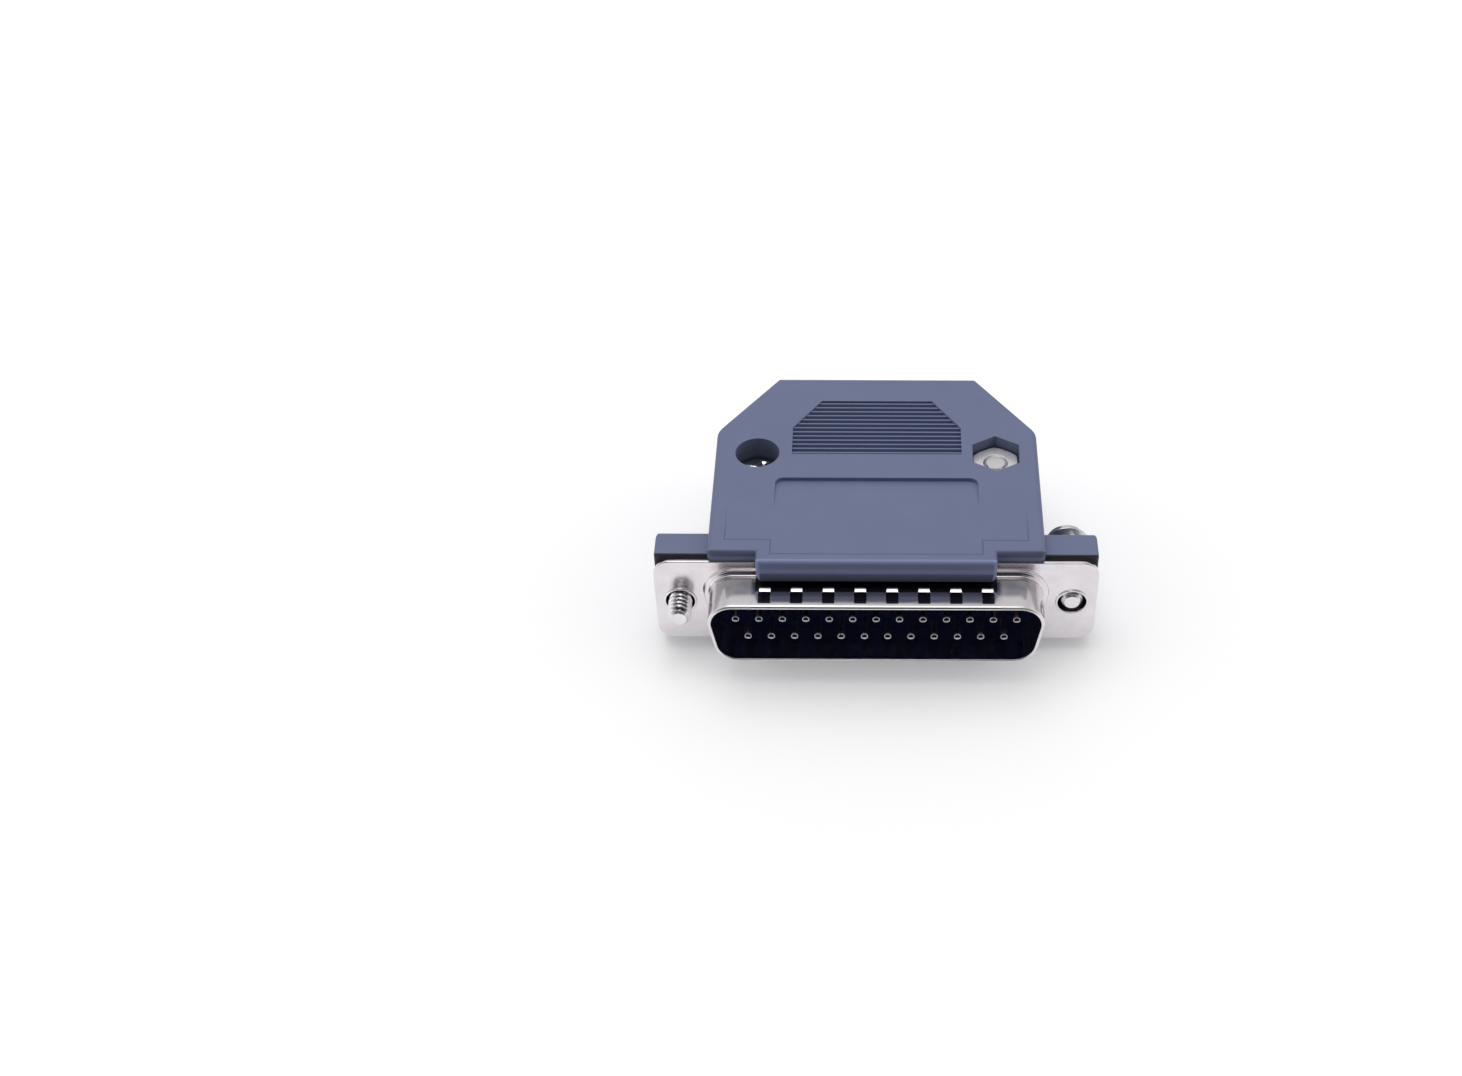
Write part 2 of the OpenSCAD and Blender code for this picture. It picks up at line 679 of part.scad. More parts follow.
// A hexagon nut on the plane z = 0, with its corners turned off at both faces.
module hex_nut(af, h, thread_d) color(steel) {
    bevel = af * 0.035;
    r = af / 2 / cos(30);
    difference() {
        intersection() {
            hex_prism(af, h);
            rotate_extrude()
                polygon([[0, 0], [r - 2 * bevel, 0], [r, bevel], [r, h - bevel],
                         [r - 2 * bevel, h], [0, h]]);
        }
        translate([0, 0, -over]) cylinder(d = thread_d + 2 * slop, h = h + 2 * over);
    }
}

// Half section of a domed head that stands on the axis of the drawing's x.
module head_section(d, h) {
    drop = h * 0.4;
    dome = (d * d / 4 + drop * drop) / (2 * drop);
    intersection() {
        square([d / 2, h]);
        translate([0, h - dome]) circle(dome);
    }
}

// The cross recess of a head whose top is at z = 0.
module cross_recess(span) {
    depth = span * 0.42;
    blade = span * 0.24;
    intersection() {
        for (turn = [0, 90]) rotate([0, 0, turn])
            translate([-span / 2, -blade / 2, -depth]) cube([span, blade, depth + over]);
        translate([0, 0, -depth]) cylinder(r1 = span * 0.2, r2 = span * 0.2 + depth + over,
                                           h = depth + over);
    }
}

// A pan-head machine screw whose head seats on z = 0 and whose thread points down.
module pan_screw(d, length, head_d, head_h) color(steel) difference() {
    bevel = d * 0.12;
    rotate_extrude() {
        head_section(head_d, head_h);
        polygon([[0, -length], [d / 2 - bevel, -length], [d / 2, -length + bevel], [d / 2, 0],
                 [0, 0]]);
    }
    translate([0, 0, head_h]) cross_recess(head_d * 0.56);
}

// The left screw goes in from above, the right one from below.
module hood_screw(side) rotate([0, side < 0 ? 0 : 180, 0])
    translate([-hood_x, hood_screw_y, head_seat])
        pan_screw(hood_screw_d, hood_screw_len, hood_head_d, hood_head_h);

module hood_nut(side) rotate([0, side < 0 ? 180 : 0, 0])
    translate([hood_x, hood_screw_y, nut_seat]) hex_nut(hood_nut_af, hood_nut_h, hood_screw_d);

// How far back each jackscrew stands: the right one is drawn back as far as it goes.
function draw(side) = side < 0 ? left_draw : jack_travel;

// A captive jackscrew: domed head, thin neck and a short thread.
module jackscrew(side) color(steel) translate([side * jack_x, draw(side), 0]) {
    head_y = ear_back + stop_gap + washer_t;
    bevel = jack_d * 0.2;
    difference() {
        round_y() {
            translate([0, head_y]) head_section(jack_head_d, jack_head_h);
            translate([0, thread_front + jack_thread - over])
                square([neck_d / 2, head_y - thread_front - jack_thread + over]);
            polygon([[0, thread_front], [jack_d / 2 - bevel, thread_front],
                     [jack_d / 2, thread_front + bevel],
                     [jack_d / 2, thread_front + jack_thread - thread_runout],
                     [runout_r, thread_front + jack_thread], [0, thread_front + jack_thread]]);
        }
        translate([0, head_y + jack_head_h, 0]) rotate([-90, 0, 0])
            cross_recess(jack_head_d * 0.56);
    }
}

module jackscrew_washer(side) color(steel)
    translate([side * jack_x, draw(side) + ear_back + stop_gap, 0]) round_y() difference() {
        edge = washer_t * 0.3;
        translate([washer_hole / 2, 0]) square([(washer_d - washer_hole) / 2, washer_t]);
        translate([washer_d / 2, 0]) mirror([1, 0]) corner(edge);
        translate([washer_d / 2, washer_t]) rotate(180) corner(edge);
    }

// One bent strip of the clamp: a half round saddle between two flat, drilled ends.
module clamp_strip() {
    bore = cable_d / 2;
    out = bore + clamp_t;
    difference() {
        along_y(clamp_y - clamp_w / 2, clamp_y + clamp_w / 2) difference() {
            union() {
                circle(out);
                translate([-clamp_len / 2, clamp_z]) square([clamp_len, clamp_t]);
            }
            circle(bore);
            translate([-clamp_len, -clamp_len]) square([2 * clamp_len, clamp_len + clamp_z]);
        }
        for (side = [-1, 1]) translate([side * clamp_x, clamp_y, 0])
            cylinder(d = clamp_screw_d + pocket_gap, h = 2 * clamp_face);
    }
}

module cable_clamp_upper() color(steel) clamp_strip();
module cable_clamp_lower() color(steel) mirror([0, 0, 1]) clamp_strip();

module clamp_screw(side) translate([side * clamp_x, clamp_y, clamp_face])
    pan_screw(clamp_screw_d, clamp_screw_len, clamp_head_d, clamp_head_h);

module clamp_nut(side) translate([side * clamp_x, clamp_y, -clamp_face - clamp_nut_h])
    hex_nut(clamp_nut_af, clamp_nut_h, clamp_screw_d);

front_shell();
rear_shell();
front_insulator();
rear_insulator();
for (i = [1 : contact_n]) contact(i);
flange_eyelet(-1);  // flange_eyelet_left
flange_eyelet(1);  // flange_eyelet_right
upper_hood();
lower_hood();
hood_screw(-1);  // hood_screw_left
hood_screw(1);  // hood_screw_right
hood_nut(-1);  // hood_nut_left
hood_nut(1);  // hood_nut_right
jackscrew(-1);  // jackscrew_left
jackscrew(1);  // jackscrew_right
jackscrew_washer(-1);  // jackscrew_washer_left
jackscrew_washer(1);  // jackscrew_washer_right
cable_clamp_upper();
cable_clamp_lower();
clamp_screw(-1);  // clamp_screw_left
clamp_screw(1);  // clamp_screw_right
clamp_nut(-1);  // clamp_nut_left
clamp_nut(1);  // clamp_nut_right
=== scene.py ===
"""The looks of a hooded 25-way d-sub plug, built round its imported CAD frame.

Sizes are in millimetres and become metres when a mesh is made. The frame is the CAD's own: the origin
is the centre of the flange's front face, +X is to the right, +Y runs back to the cable and +Z is up.
"""

from __future__ import annotations

import logging
import math
from dataclasses import dataclass
from enum import Enum
from functools import cache

import bmesh
import bpy
import numpy as np
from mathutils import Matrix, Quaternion, Vector

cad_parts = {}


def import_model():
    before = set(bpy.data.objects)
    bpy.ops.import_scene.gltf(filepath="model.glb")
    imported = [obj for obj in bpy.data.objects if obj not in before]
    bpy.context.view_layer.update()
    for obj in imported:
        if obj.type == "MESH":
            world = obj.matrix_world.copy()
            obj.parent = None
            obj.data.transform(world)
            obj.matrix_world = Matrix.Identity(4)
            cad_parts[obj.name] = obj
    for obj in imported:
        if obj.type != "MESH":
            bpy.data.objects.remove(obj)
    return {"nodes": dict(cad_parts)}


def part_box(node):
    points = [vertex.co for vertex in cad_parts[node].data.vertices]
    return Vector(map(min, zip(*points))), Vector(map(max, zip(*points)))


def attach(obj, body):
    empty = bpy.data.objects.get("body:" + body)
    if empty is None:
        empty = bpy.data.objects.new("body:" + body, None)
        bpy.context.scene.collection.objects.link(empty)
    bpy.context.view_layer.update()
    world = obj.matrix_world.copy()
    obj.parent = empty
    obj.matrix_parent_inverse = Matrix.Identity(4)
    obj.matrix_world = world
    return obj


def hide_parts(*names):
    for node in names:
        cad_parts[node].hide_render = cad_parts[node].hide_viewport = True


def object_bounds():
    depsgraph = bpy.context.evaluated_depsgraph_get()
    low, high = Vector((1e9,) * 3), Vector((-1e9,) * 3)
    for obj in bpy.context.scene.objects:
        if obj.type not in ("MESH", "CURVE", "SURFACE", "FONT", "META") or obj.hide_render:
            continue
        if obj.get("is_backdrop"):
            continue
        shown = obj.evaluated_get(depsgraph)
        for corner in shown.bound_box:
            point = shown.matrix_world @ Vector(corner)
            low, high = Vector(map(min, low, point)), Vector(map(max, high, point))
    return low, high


Pair = tuple[float, float]
Span = Pair
Triple = tuple[float, float, float]
Colour = Triple
Socket = bpy.types.NodeSocket

LOG = logging.getLogger("plug")
MM = 0.001
MERGE = 2e-7
SHARP_DEG = 30.0
TURN_COLUMNS = 72
STRAIGHT = 0.6
DIMPLE_PITCH = 3.75
DARK: Colour = (0.0, 0.0, 0.0)


# Shader sockets and nodes


class Signal:
    """A number that varies over a surface or over the room, written as a Python value.

    Each operator adds one Math node to the tree that the socket belongs to.
    """

    def __init__(self, nodes: Nodes, socket: Socket) -> None:
        """Wraps a node's output socket."""
        self.nodes = nodes
        self.socket = socket

    def _with(self, operation: str, first: Signal | float, second: Signal | float) -> Signal:
        """Returns the result of a Math node with this operation on both operands."""
        node = self.nodes.node("ShaderNodeMath", {"operation": operation}, {0: first, 1: second})
        return Signal(self.nodes, node.outputs[0])

    def __add__(self, other: Signal | float) -> Signal:
        """Returns self + other."""
        return self._with("ADD", self, other)

    __radd__ = __add__

    def __sub__(self, other: Signal | float) -> Signal:
        """Returns self - other."""
        return self._with("SUBTRACT", self, other)

    def __rsub__(self, other: Signal | float) -> Signal:
        """Returns other - self."""
        return self._with("SUBTRACT", other, self)

    def __mul__(self, other: Signal | float) -> Signal:
        """Returns self * other."""
        return self._with("MULTIPLY", self, other)

    __rmul__ = __mul__

    def __abs__(self) -> Signal:
        """Returns the value without its sign."""
        return self._with("ABSOLUTE", self, 0.0)

    def fraction(self) -> Signal:
        """Returns the value less the whole number under it."""
        return self._with("FRACT", self, 0.0)

    def least(self, other: Signal | float) -> Signal:
        """Returns the lesser of both."""
        return self._with("MINIMUM", self, other)

    def most(self, other: Signal | float) -> Signal:
        """Returns the greater of both."""
        return self._with("MAXIMUM", self, other)

    def between(self, low: float, high: float) -> Signal:
        """Stretches the range from low to high over 0 to 1, and cuts off what lies outside it."""
        node = self.nodes.node("ShaderNodeMapRange", {"clamp": True},
                               {"Value": self, "From Min": low, "From Max": high})
        return Signal(self.nodes, node.outputs[0])

    def until(self, low: float, high: float) -> Signal:
        """Returns 1 up to low and 0 from high on."""
        return 1.0 - self.between(low, high)

    def steps(self, rises: tuple[Triple, ...], start: float = 0.0) -> Signal:
        """Returns start plus every rise, given as its height and the values where it starts and ends."""
        return sum((height * self.between(low, high) for height, low, high in rises), start)


class Nodes:
    """A node tree, to which each node is added with its settings and its inputs."""

    def __init__(self, tree: bpy.types.NodeTree) -> None:
        """Wraps the tree."""
        self.tree = tree

    def node(self, kind: str, settings: dict, inputs: dict) -> bpy.types.Node:
        """Adds a node.

        Args:
            kind: Type of the node.
            settings: Its properties, set before its sockets. "stops" are a colour ramp's.
            inputs: A value, a Signal or a socket for each input, by name or number.

        Returns:
            The new node.
        """
        node = self.tree.nodes.new(kind)
        for key, value in settings.items():
            if key == "stops":
                ramp = node.color_ramp.elements
                for at, _ in value[1:-1]:
                    ramp.new(at)
                for stop, (at, colour) in zip(ramp, value):
                    stop.position, stop.color = at, (*colour, 1.0)
            else:
                setattr(node, key, value)
        for key, value in inputs.items():
            self.set(node.inputs[key], value)
        return node

    def set(self, target: Socket, value: Signal | Socket | float | Triple) -> None:
        """Links a Signal or a socket to an input, or writes a plain value there.

        Args:
            target: The input.
            value: What it gets.
        """
        if isinstance(value, Signal):
            value = value.socket
        if isinstance(value, Socket):
            self.tree.links.new(value, target)
        elif isinstance(value, tuple) and target.type == "RGBA":
            target.default_value = (*value, 1.0)
        else:
            target.default_value = value

    def mix(self, mask: Signal, low: Colour | Socket, high: Colour | Socket) -> Socket:
        """Returns the mix of two colours: the first where the mask is 0 and the second where it is 1."""
        node = self.node("ShaderNodeMix", {"data_type": "RGBA"}, {0: mask, 6: low, 7: high})
        return node.outputs[2]


class Shader(Nodes):
    """One material's node tree, with a Principled shader and Object coordinates."""

    def __init__(self, name: str) -> None:
        """Makes the material and its coordinates.

        Args:
            name: Name of the material.
        """
        self.material = bpy.data.materials.new(name)
        self.material.use_nodes = True
        super().__init__(self.material.node_tree)
        self.surface = self.tree.nodes["Principled BSDF"]
        self.place = self.node("ShaderNodeTexCoord", {}, {}).outputs["Object"]

    def give(self, inputs: dict[str, Signal | Socket | float | Colour]) -> None:
        """Sets inputs of the Principled shader, by name."""
        for name, value in inputs.items():
            self.set(self.surface.inputs[name], value)

    def axes(self) -> tuple[Signal, Signal, Signal]:
        """Splits the place on the object.

        Returns:
            The point's x, y and z, in millimetres.
        """
        parts = self.node("ShaderNodeSeparateXYZ", {}, {0: self.place})
        x, y, z = (Signal(self, socket) * (1.0 / MM) for socket in parts.outputs)
        return x, y, z

    def noise(self, size: float, detail: float, stretch: Triple = (1.0, 1.0, 1.0)) -> Signal:
        """Adds soft noise.

        Args:
            size: Width of its blotches, in millimetres.
            detail: Octaves of finer noise.
            stretch: How much longer the blotches are along each axis.

        Returns:
            Noise from 0 to 1, near 0.5 on the whole.
        """
        scale = tuple(1.0 / (size * MM * s) for s in stretch)
        mapping = self.node("ShaderNodeMapping", {}, {"Vector": self.place, "Scale": scale})
        node = self.node("ShaderNodeTexNoise", {},
                         {"Vector": mapping.outputs[0], "Scale": 1.0, "Detail": detail})
        return Signal(self, node.outputs["Fac"])

    def specks(self, size: float, share: float) -> Signal:
        """Returns 1 in small specks, whose radius is a share of the size of their cells, and else 0."""
        node = self.node("ShaderNodeTexVoronoi", {}, {"Vector": self.place, "Scale": 1.0 / (size * MM)})
        return Signal(self, node.outputs["Distance"]).until(share / 2, share)

    def bump(self, height: Signal, depth: float) -> None:
        """Leads a height to the shader's normal. A height of 1 is so many millimetres deep."""
        inputs = {"Height": height, "Distance": depth * MM, "Strength": 1.0}
        self.give({"Normal": self.node("ShaderNodeBump", {}, inputs).outputs[0]})


def linear(red: int, green: int, blue: int) -> Colour:
    """Turns a display colour into the linear colour that a shader takes.

    The display's curve is a straight line near black, and above it a power of a shifted value.

    Args:
        red: Red, from 0 to 255.
        green: Green, likewise.
        blue: Blue, likewise.

    Returns:
        The linear colour, from 0 to 1.
    """
    values = np.array([red, green, blue]) / 255.0
    out = np.where(values <= 0.04045, values / 12.92, ((values + 0.055) / 1.055) ** 2.4)
    return float(out[0]), float(out[1]), float(out[2])


# Finishes, in which a span says where a ramp begins and ends


@dataclass(frozen=True)
class Moulding:
    """Moulded plastic: wide flow marks in its colour, and a fine eroded grain.

    Flow marks and grain have a size and a detail.
    """

    name: str
    colour: Colour
    shade: float = 0.9
    roughness: float = 0.5
    swing: float = 0.12
    flow: Pair = (6.0, 3.0)
    flow_share: float = 0.55
    grain: Pair = (0.16, 3.0)
    grain_depth: float = 0.012
    contrast: Span = (0.3, 0.7)
    mottle: Span = (0.25, 0.75)
    specular: float = 0.5

    def material(self) -> bpy.types.Material:
        """Makes the material, with the grain in colour, roughness and relief.

        Returns:
            The material.
        """
        shader = Shader(self.name)
        flow = shader.noise(*self.flow).between(*self.contrast)
        fine = shader.noise(*self.grain)
        dark = tuple(c * self.shade for c in self.colour)
        mottled = flow * self.flow_share + fine.between(*self.mottle) * (1.0 - self.flow_share)
        plain = shader.mix(mottled, dark, self.colour)
        shader.give({
            "Base Color": self.marks_and_painted_light(shader, plain),
            "Roughness": fine.between(*self.contrast) * self.swing + (self.roughness - self.swing / 2),
            "Specular IOR Level": self.specular,
        })
        shader.bump(fine, self.grain_depth)
        return shader.material

    def marks_and_painted_light(self, shader: Shader, colour: Socket) -> Socket:
        """Returns the colour with its marks and painted light, of which plain plastic has none."""
        return colour


@dataclass(frozen=True)
class HoodMoulding(Moulding):
    """The hood's plastic, with a hairline in its flat faces, a dark seam, painted shade in its pockets,
    and painted light and shade on its fronts.

    The hairline runs inside the outline of body and tongue: a distance to two boxes, of which the
    lesser counts, is nought on it. A front face gets painted shade at its foot and a painted light band
    above, given as steps over the height, and the tongue's side edges get a painted highlight.
    """

    line_body: Pair = (17.95, 1.7)
    line_tongue: Pair = (12.5, -0.75)
    line_w: Span = (0.05, 0.15)
    line_fade: Span = (2.5, 8.0)
    line_dark: float = 0.32
    face_z: Span = (8.3, 8.35)
    seam_z: Span = (0.04, 0.1)
    seam_dark: float = 0.75
    pocket_at: Pair = (14.75, 17.6)
    pocket_r: float = 3.42
    pocket_soft: float = 0.96
    pocket_z: Span = (6.4, 8.35)
    pocket_painted_shade: float = 0.55
    tongue_x: Span = (14.25, 14.27)
    body_x: Span = (19.98, 20.0)
    tongue_y: Span = (-1.75, -1.6)
    body_y: Span = (-0.15, 0.0)
    ear_y: Span = (1.2, 1.28)
    edge_x: Span = (13.5, 13.8)
    painted_edge_light: float = 0.9
    tongue_foot: float = 0.1
    tongue_steps: tuple[Triple, ...] = ((0.32, 5.05, 6.3), (0.58, 6.3, 6.6), (-0.3, 7.0, 7.35))
    body_steps: tuple[Triple, ...] = ((0.61, 6.85, 7.0), (-0.31, 7.4, 7.6))
    painted_darkest: float = 0.12
    painted_palest: float = 2.2

    def marks_and_painted_light(self, shader: Shader, colour: Socket) -> Socket:
        """Darkens the lines, paints shade in the pockets, and paints light and shade on the front faces.

        Args:
            shader: The material's tree.
            colour: The plain colour's socket.

        Returns:
            The colour's socket, with its marks and painted light and shade.
        """
        x, y, z = shader.axes()
        aside, up = abs(x), abs(z)
        lined = shader.mix(self.lines(aside, y, up), colour, DARK)
        # Painted shade and painted light on the front faces of the tongue, the body and the ears.
        on_tongue, on_ear = aside.until(*self.tongue_x), aside.between(*self.body_x)
        on_body = 1.0 - on_tongue - on_ear
        front = (on_tongue * y.until(*self.tongue_y) + on_body * y.until(*self.body_y)
                 + on_ear * y.until(*self.ear_y))
        # Painted highlight along the tongue's side edges.
        edge = self.painted_edge_light * aside.between(*self.edge_x)
        tongue = up.steps(self.tongue_steps, self.tongue_foot).most(edge)
        # Painted light and shade: the front colour runs from a darkened copy of the hood's colour to a
        # lightened one.
        low, high = (tuple(share * c for c in self.colour) for share in (self.painted_darkest, self.painted_palest))
        painted_light_and_shade = shader.mix(tongue * on_tongue + up.steps(self.body_steps) * on_body, low, high)
        return shader.mix(front, lined, painted_light_and_shade)

    def lines(self, aside: Signal, y: Signal, up: Signal) -> Signal:
        """Finds the hairline, the seam between the halves, and the painted shade in the pockets.

        Args:
            aside: Distance from the middle plane.
            y: Distance behind the flange.
            up: Distance above or below the seam.

        Returns:
            How dark each place is.
        """
        body, tongue = ((aside - half).most(front - y)
                        for half, front in (self.line_body, self.line_tongue))
        line = abs(body.least(tongue)).until(*self.line_w)
        line = line * up.between(*self.face_z) * y.until(*self.line_fade)
        # Painted shade in the pockets, darkest deep down and fading out towards the top face.
        off_x, off_y = aside - self.pocket_at[0], y - self.pocket_at[1]
        area = self.pocket_r ** 2
        pocket = (off_x * off_x + off_y * off_y).until(self.pocket_soft * area, area)
        painted_pocket_shade = pocket * up.until(*self.pocket_z)
        seam = up.until(*self.seam_z)
        return (line * self.line_dark).most(seam * self.seam_dark).most(painted_pocket_shade * self.pocket_painted_shade)


@dataclass(frozen=True)
class Plating:
    """Metal with a thin bright plating: faint rolling marks, dull spots, a slight waviness, and painted
    shade where a span of y is given for it.

    Marks and cloud have a size and a detail, and specks a distance and a share of it as their radius.
    The shares are those of cloud, marks and specks in how dull the colour is.
    """

    name: str
    colour: Colour
    dull: Colour
    roughness: float = 0.2
    spread: float = 0.06
    wave: float = 0.004
    wave_size: float = 2.5
    wave_detail: float = 1.0
    marks: Pair = (0.12, 2.0)
    mark_relief: float = 0.08
    mark_contrast: Span = (0.3, 0.7)
    rolled: Triple = (6.0, 1.0, 6.0)
    cloud: Pair = (3.0, 4.0)
    cloud_contrast: Span = (0.35, 0.7)
    specks: Pair = (1.1, 0.045)
    shares: Triple = (0.4, 0.2, 0.4)
    metallic: float = 1.0
    # Painted shade: behind the given span of y, the colour is darkened by the strength below.
    shade_from_y: Span | None = None
    shade_strength: float = 0.9

    def material(self) -> bpy.types.Material:
        """Makes the material.

        Returns:
            The material.
        """
        shader = Shader(self.name)
        marks = shader.noise(*self.marks, self.rolled).between(*self.mark_contrast)
        cloud = shader.noise(*self.cloud).between(*self.cloud_contrast)
        layers = zip((cloud, marks, shader.specks(*self.specks)), self.shares)
        colour = shader.mix(sum(layer * share for layer, share in layers), self.colour, self.dull)
        painted_shade, bare = self.painted_shade(shader), self.bare(shader, cloud)
        # Painted shade darkens the colour where it is given.
        if painted_shade is not None:
            colour = shader.mix(painted_shade, colour, DARK)
        shader.give({
            "Base Color": colour,
            "Metallic": self.metallic if bare is None else self.metallic - bare,
            "Roughness": self.roughness + self.spread * cloud + marks * (self.spread / 2),
        })
        wave = shader.noise(self.wave_size, self.wave_detail)
        shader.bump(wave + marks * self.mark_relief, self.wave)
        return shader.material

    def painted_shade(self, shader: Shader) -> Signal | None:
        """Returns how dark the painted shade makes the plating, or None where it has none."""
        return self.shade_strength * shader.axes()[1].between(*self.shade_from_y) if self.shade_from_y else None

    def bare(self, shader: Shader, cloud: Signal) -> Signal | None:
        """Returns how much of the metal's mirror is lost, or None where it is even."""
        return None


@dataclass(frozen=True)
class ShellPlating(Plating):
    """The drawn shell's plating: painted shade under the hood's tongue, dull beside it.

    The painted shade lies on the skirt's top behind under_y and on the floors of the dimples, whose
    middles are half a pitch off the whole pitches. Their rear slopes stay bright.
    """

    tongue_x: Span = (14.2, 14.3)
    top_z: Span = (4.0, 4.1)
    platform_z: Span = (5.2, 5.3)
    under_y: Span = (-3.35, -3.2)
    dimple_x: Span = (0.66, 0.72)
    floor_from: Span = (-5.16, -5.12)
    floor_to: Span = (-3.06, -3.02)
    slope_to: Span = (-2.61, -2.56)
    shade_strength: float = 0.86
    dull_x: Span = (14.4, 14.9)
    dull_y: Span = (-1.3, -1.0)
    dull_z: Span = (3.4, 4.3)
    dull_least: float = 0.55
    lost: float = 0.55

    def painted_shade(self, shader: Shader) -> Signal:
        """Finds the painted shade under the tongue and on the dimples' floors.

        Args:
            shader: The material's tree.

        Returns:
            How dark each place is.
        """
        x, y, z = shader.axes()
        # Painted shade on the skirt's top under the tongue and on the dimples' floors.
        on_top = z.between(*self.top_z) * z.until(*self.platform_z) * abs(x).until(*self.tongue_x)
        off = abs((x * (1.0 / DIMPLE_PITCH)).fraction() - 0.5) * DIMPLE_PITCH
        in_dimple = off.until(*self.dimple_x)
        floor = in_dimple * y.between(*self.floor_from) * y.until(*self.floor_to)
        under = (1.0 - in_dimple * y.until(*self.slope_to)) * y.between(*self.under_y)
        return self.shade_strength * (on_top * floor.most(under))

    def bare(self, shader: Shader, cloud: Signal) -> Signal:
        """Finds the dull places of the skirt's top beside the tongue.

        Args:
            shader: The material's tree.
            cloud: Noise that breaks them up.

        Returns:
            How much of the metal's mirror is lost.
        """
        x, y, z = shader.axes()
        patch = abs(x).between(*self.dull_x) * z.between(*self.dull_z) * y.until(*self.dull_y)
        return self.lost * (patch * (self.dull_least + (1.0 - self.dull_least) * cloud))


HOOD = HoodMoulding("hood_moulding", linear(112, 121, 155))
BLACK = Moulding("insulator_moulding", linear(8, 22, 66), grain=(0.1, 3.0), grain_depth=0.004,
                 specular=0.15)
TIN = ShellPlating("shell_plating", (0.80, 0.765, 0.79), (0.64, 0.60, 0.62), roughness=0.12)
# Painted shade: the eyelet is darkened behind its front rim, inside the flange hole.
EYELET = Plating("eyelet_plating", (0.86, 0.84, 0.86), (0.64, 0.62, 0.64), wave=0.01,
                 shade_from_y=(0.02, 0.07))
CONTACT = Plating("contact_plating", (0.74, 0.72, 0.77), (0.52, 0.5, 0.55), roughness=0.1, wave=0.003,
                  wave_size=0.5)
# Painted shade: a near-black finish for the inside of the contacts' bores.
BORE_SHADE = Plating("contact_bore_shade", (0.06, 0.06, 0.08), (0.03, 0.03, 0.04), roughness=0.3)
JACK = Plating("jackscrew_steel", (0.84, 0.82, 0.84), (0.6, 0.58, 0.6), wave=0.006, wave_size=0.6)
FASTENER = Plating("fastener_steel", (0.88, 0.87, 0.89), (0.62, 0.61, 0.63), roughness=0.22, wave=0.008,
                   wave_size=0.8)
NUT = Plating("nut_zinc", (0.9, 0.885, 0.92), (0.74, 0.73, 0.76), roughness=0.26, wave=0.01,
              wave_size=0.8, metallic=0.55)
STRIP = Plating("clamp_strip_steel", (0.76, 0.75, 0.74), (0.5, 0.48, 0.46), roughness=0.3)
Finish = Moulding | Plating


@cache
def material_of(finish: Finish) -> bpy.types.Material:
    """Returns a finish's material, made once."""
    return finish.material()


# Meshes from numpy grids


def make_object(name: str, points: np.ndarray, faces: np.ndarray) -> bpy.types.Object:
    """Makes a closed mesh object, its doubles merged and its faces outwards.

    Args:
        name: Name of the object and its mesh.
        points: Vertices in millimetres, one row each.
        faces: Vertex numbers, one quad a row.

    Returns:
        The new object, at the world's origin.
    """
    mesh = bpy.data.meshes.new(name)
    mesh.from_pydata((points * MM).tolist(), [], faces.tolist())
    work = bmesh.new()
    work.from_mesh(mesh)
    bmesh.ops.remove_doubles(work, verts=work.verts, dist=MERGE)
    if work.calc_volume(signed=True) < 0:
        bmesh.ops.reverse_faces(work, faces=work.faces)
    work.to_mesh(mesh)
    work.free()
    finish_shading(mesh)
    obj = bpy.data.objects.new(name, mesh)
    bpy.context.scene.collection.objects.link(obj)
    return obj


def finish_shading(mesh: bpy.types.Mesh) -> None:
    """Shades a mesh smooth, apart from its edges that turn by more than SHARP_DEG."""
    mesh.shade_smooth()
    mesh.set_sharp_from_angle(angle=math.radians(SHARP_DEG))


def surface(name: str, grid: np.ndarray, close_rows: bool = False) -> bpy.types.Object:
    """Makes an object from a grid of points whose columns close on themselves.

    Args:
        name: Name of the object.
        grid: Points in millimetres, by row, column and axis.
        close_rows: Whether the last row joins the first. Otherwise both are poles.

    Returns:
        The new object.
    """
    rows, columns = grid.shape[:2]
    index = np.arange(rows * columns).reshape(rows, columns)
    index = np.hstack([index, index[:, :1]])
    if close_rows:
        index = np.vstack([index, index[:1]])
    quads = np.stack([index[:-1, :-1], index[:-1, 1:], index[1:, 1:], index[1:, :-1]], axis=-1)
    return make_object(name, grid.reshape(-1, 3), quads.reshape(-1, 4))


def arc(centre: Pair, radius: float, start: float, end: float, count: int) -> np.ndarray:
    """Returns count points of a circle by degrees, each the centre plus radius times (cos a, sin a)."""
    a = np.radians(np.linspace(start, end, count))
    return np.column_stack([centre[0] + radius * np.cos(a), centre[1] + radius * np.sin(a)])


def ease(t: np.ndarray) -> np.ndarray:
    """Returns a ramp from 0 to 1 with softened ends: part straight line, part smooth step."""
    t = np.clip(t, 0.0, 1.0)
    return STRAIGHT * t + (1.0 - STRAIGHT) * t * t * (3.0 - 2.0 * t)


def column_angles(columns: int) -> np.ndarray:
    """Returns the angles of a turned piece's columns, evenly spread over one turn, in radians."""
    return np.linspace(0.0, 2.0 * np.pi, columns, endpoint=False)


def box_mm(node: str) -> tuple[np.ndarray, np.ndarray]:
    """Returns the lowest and highest corners of a CAD node, in millimetres."""
    low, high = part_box(node)
    return np.array(low) / MM, np.array(high) / MM


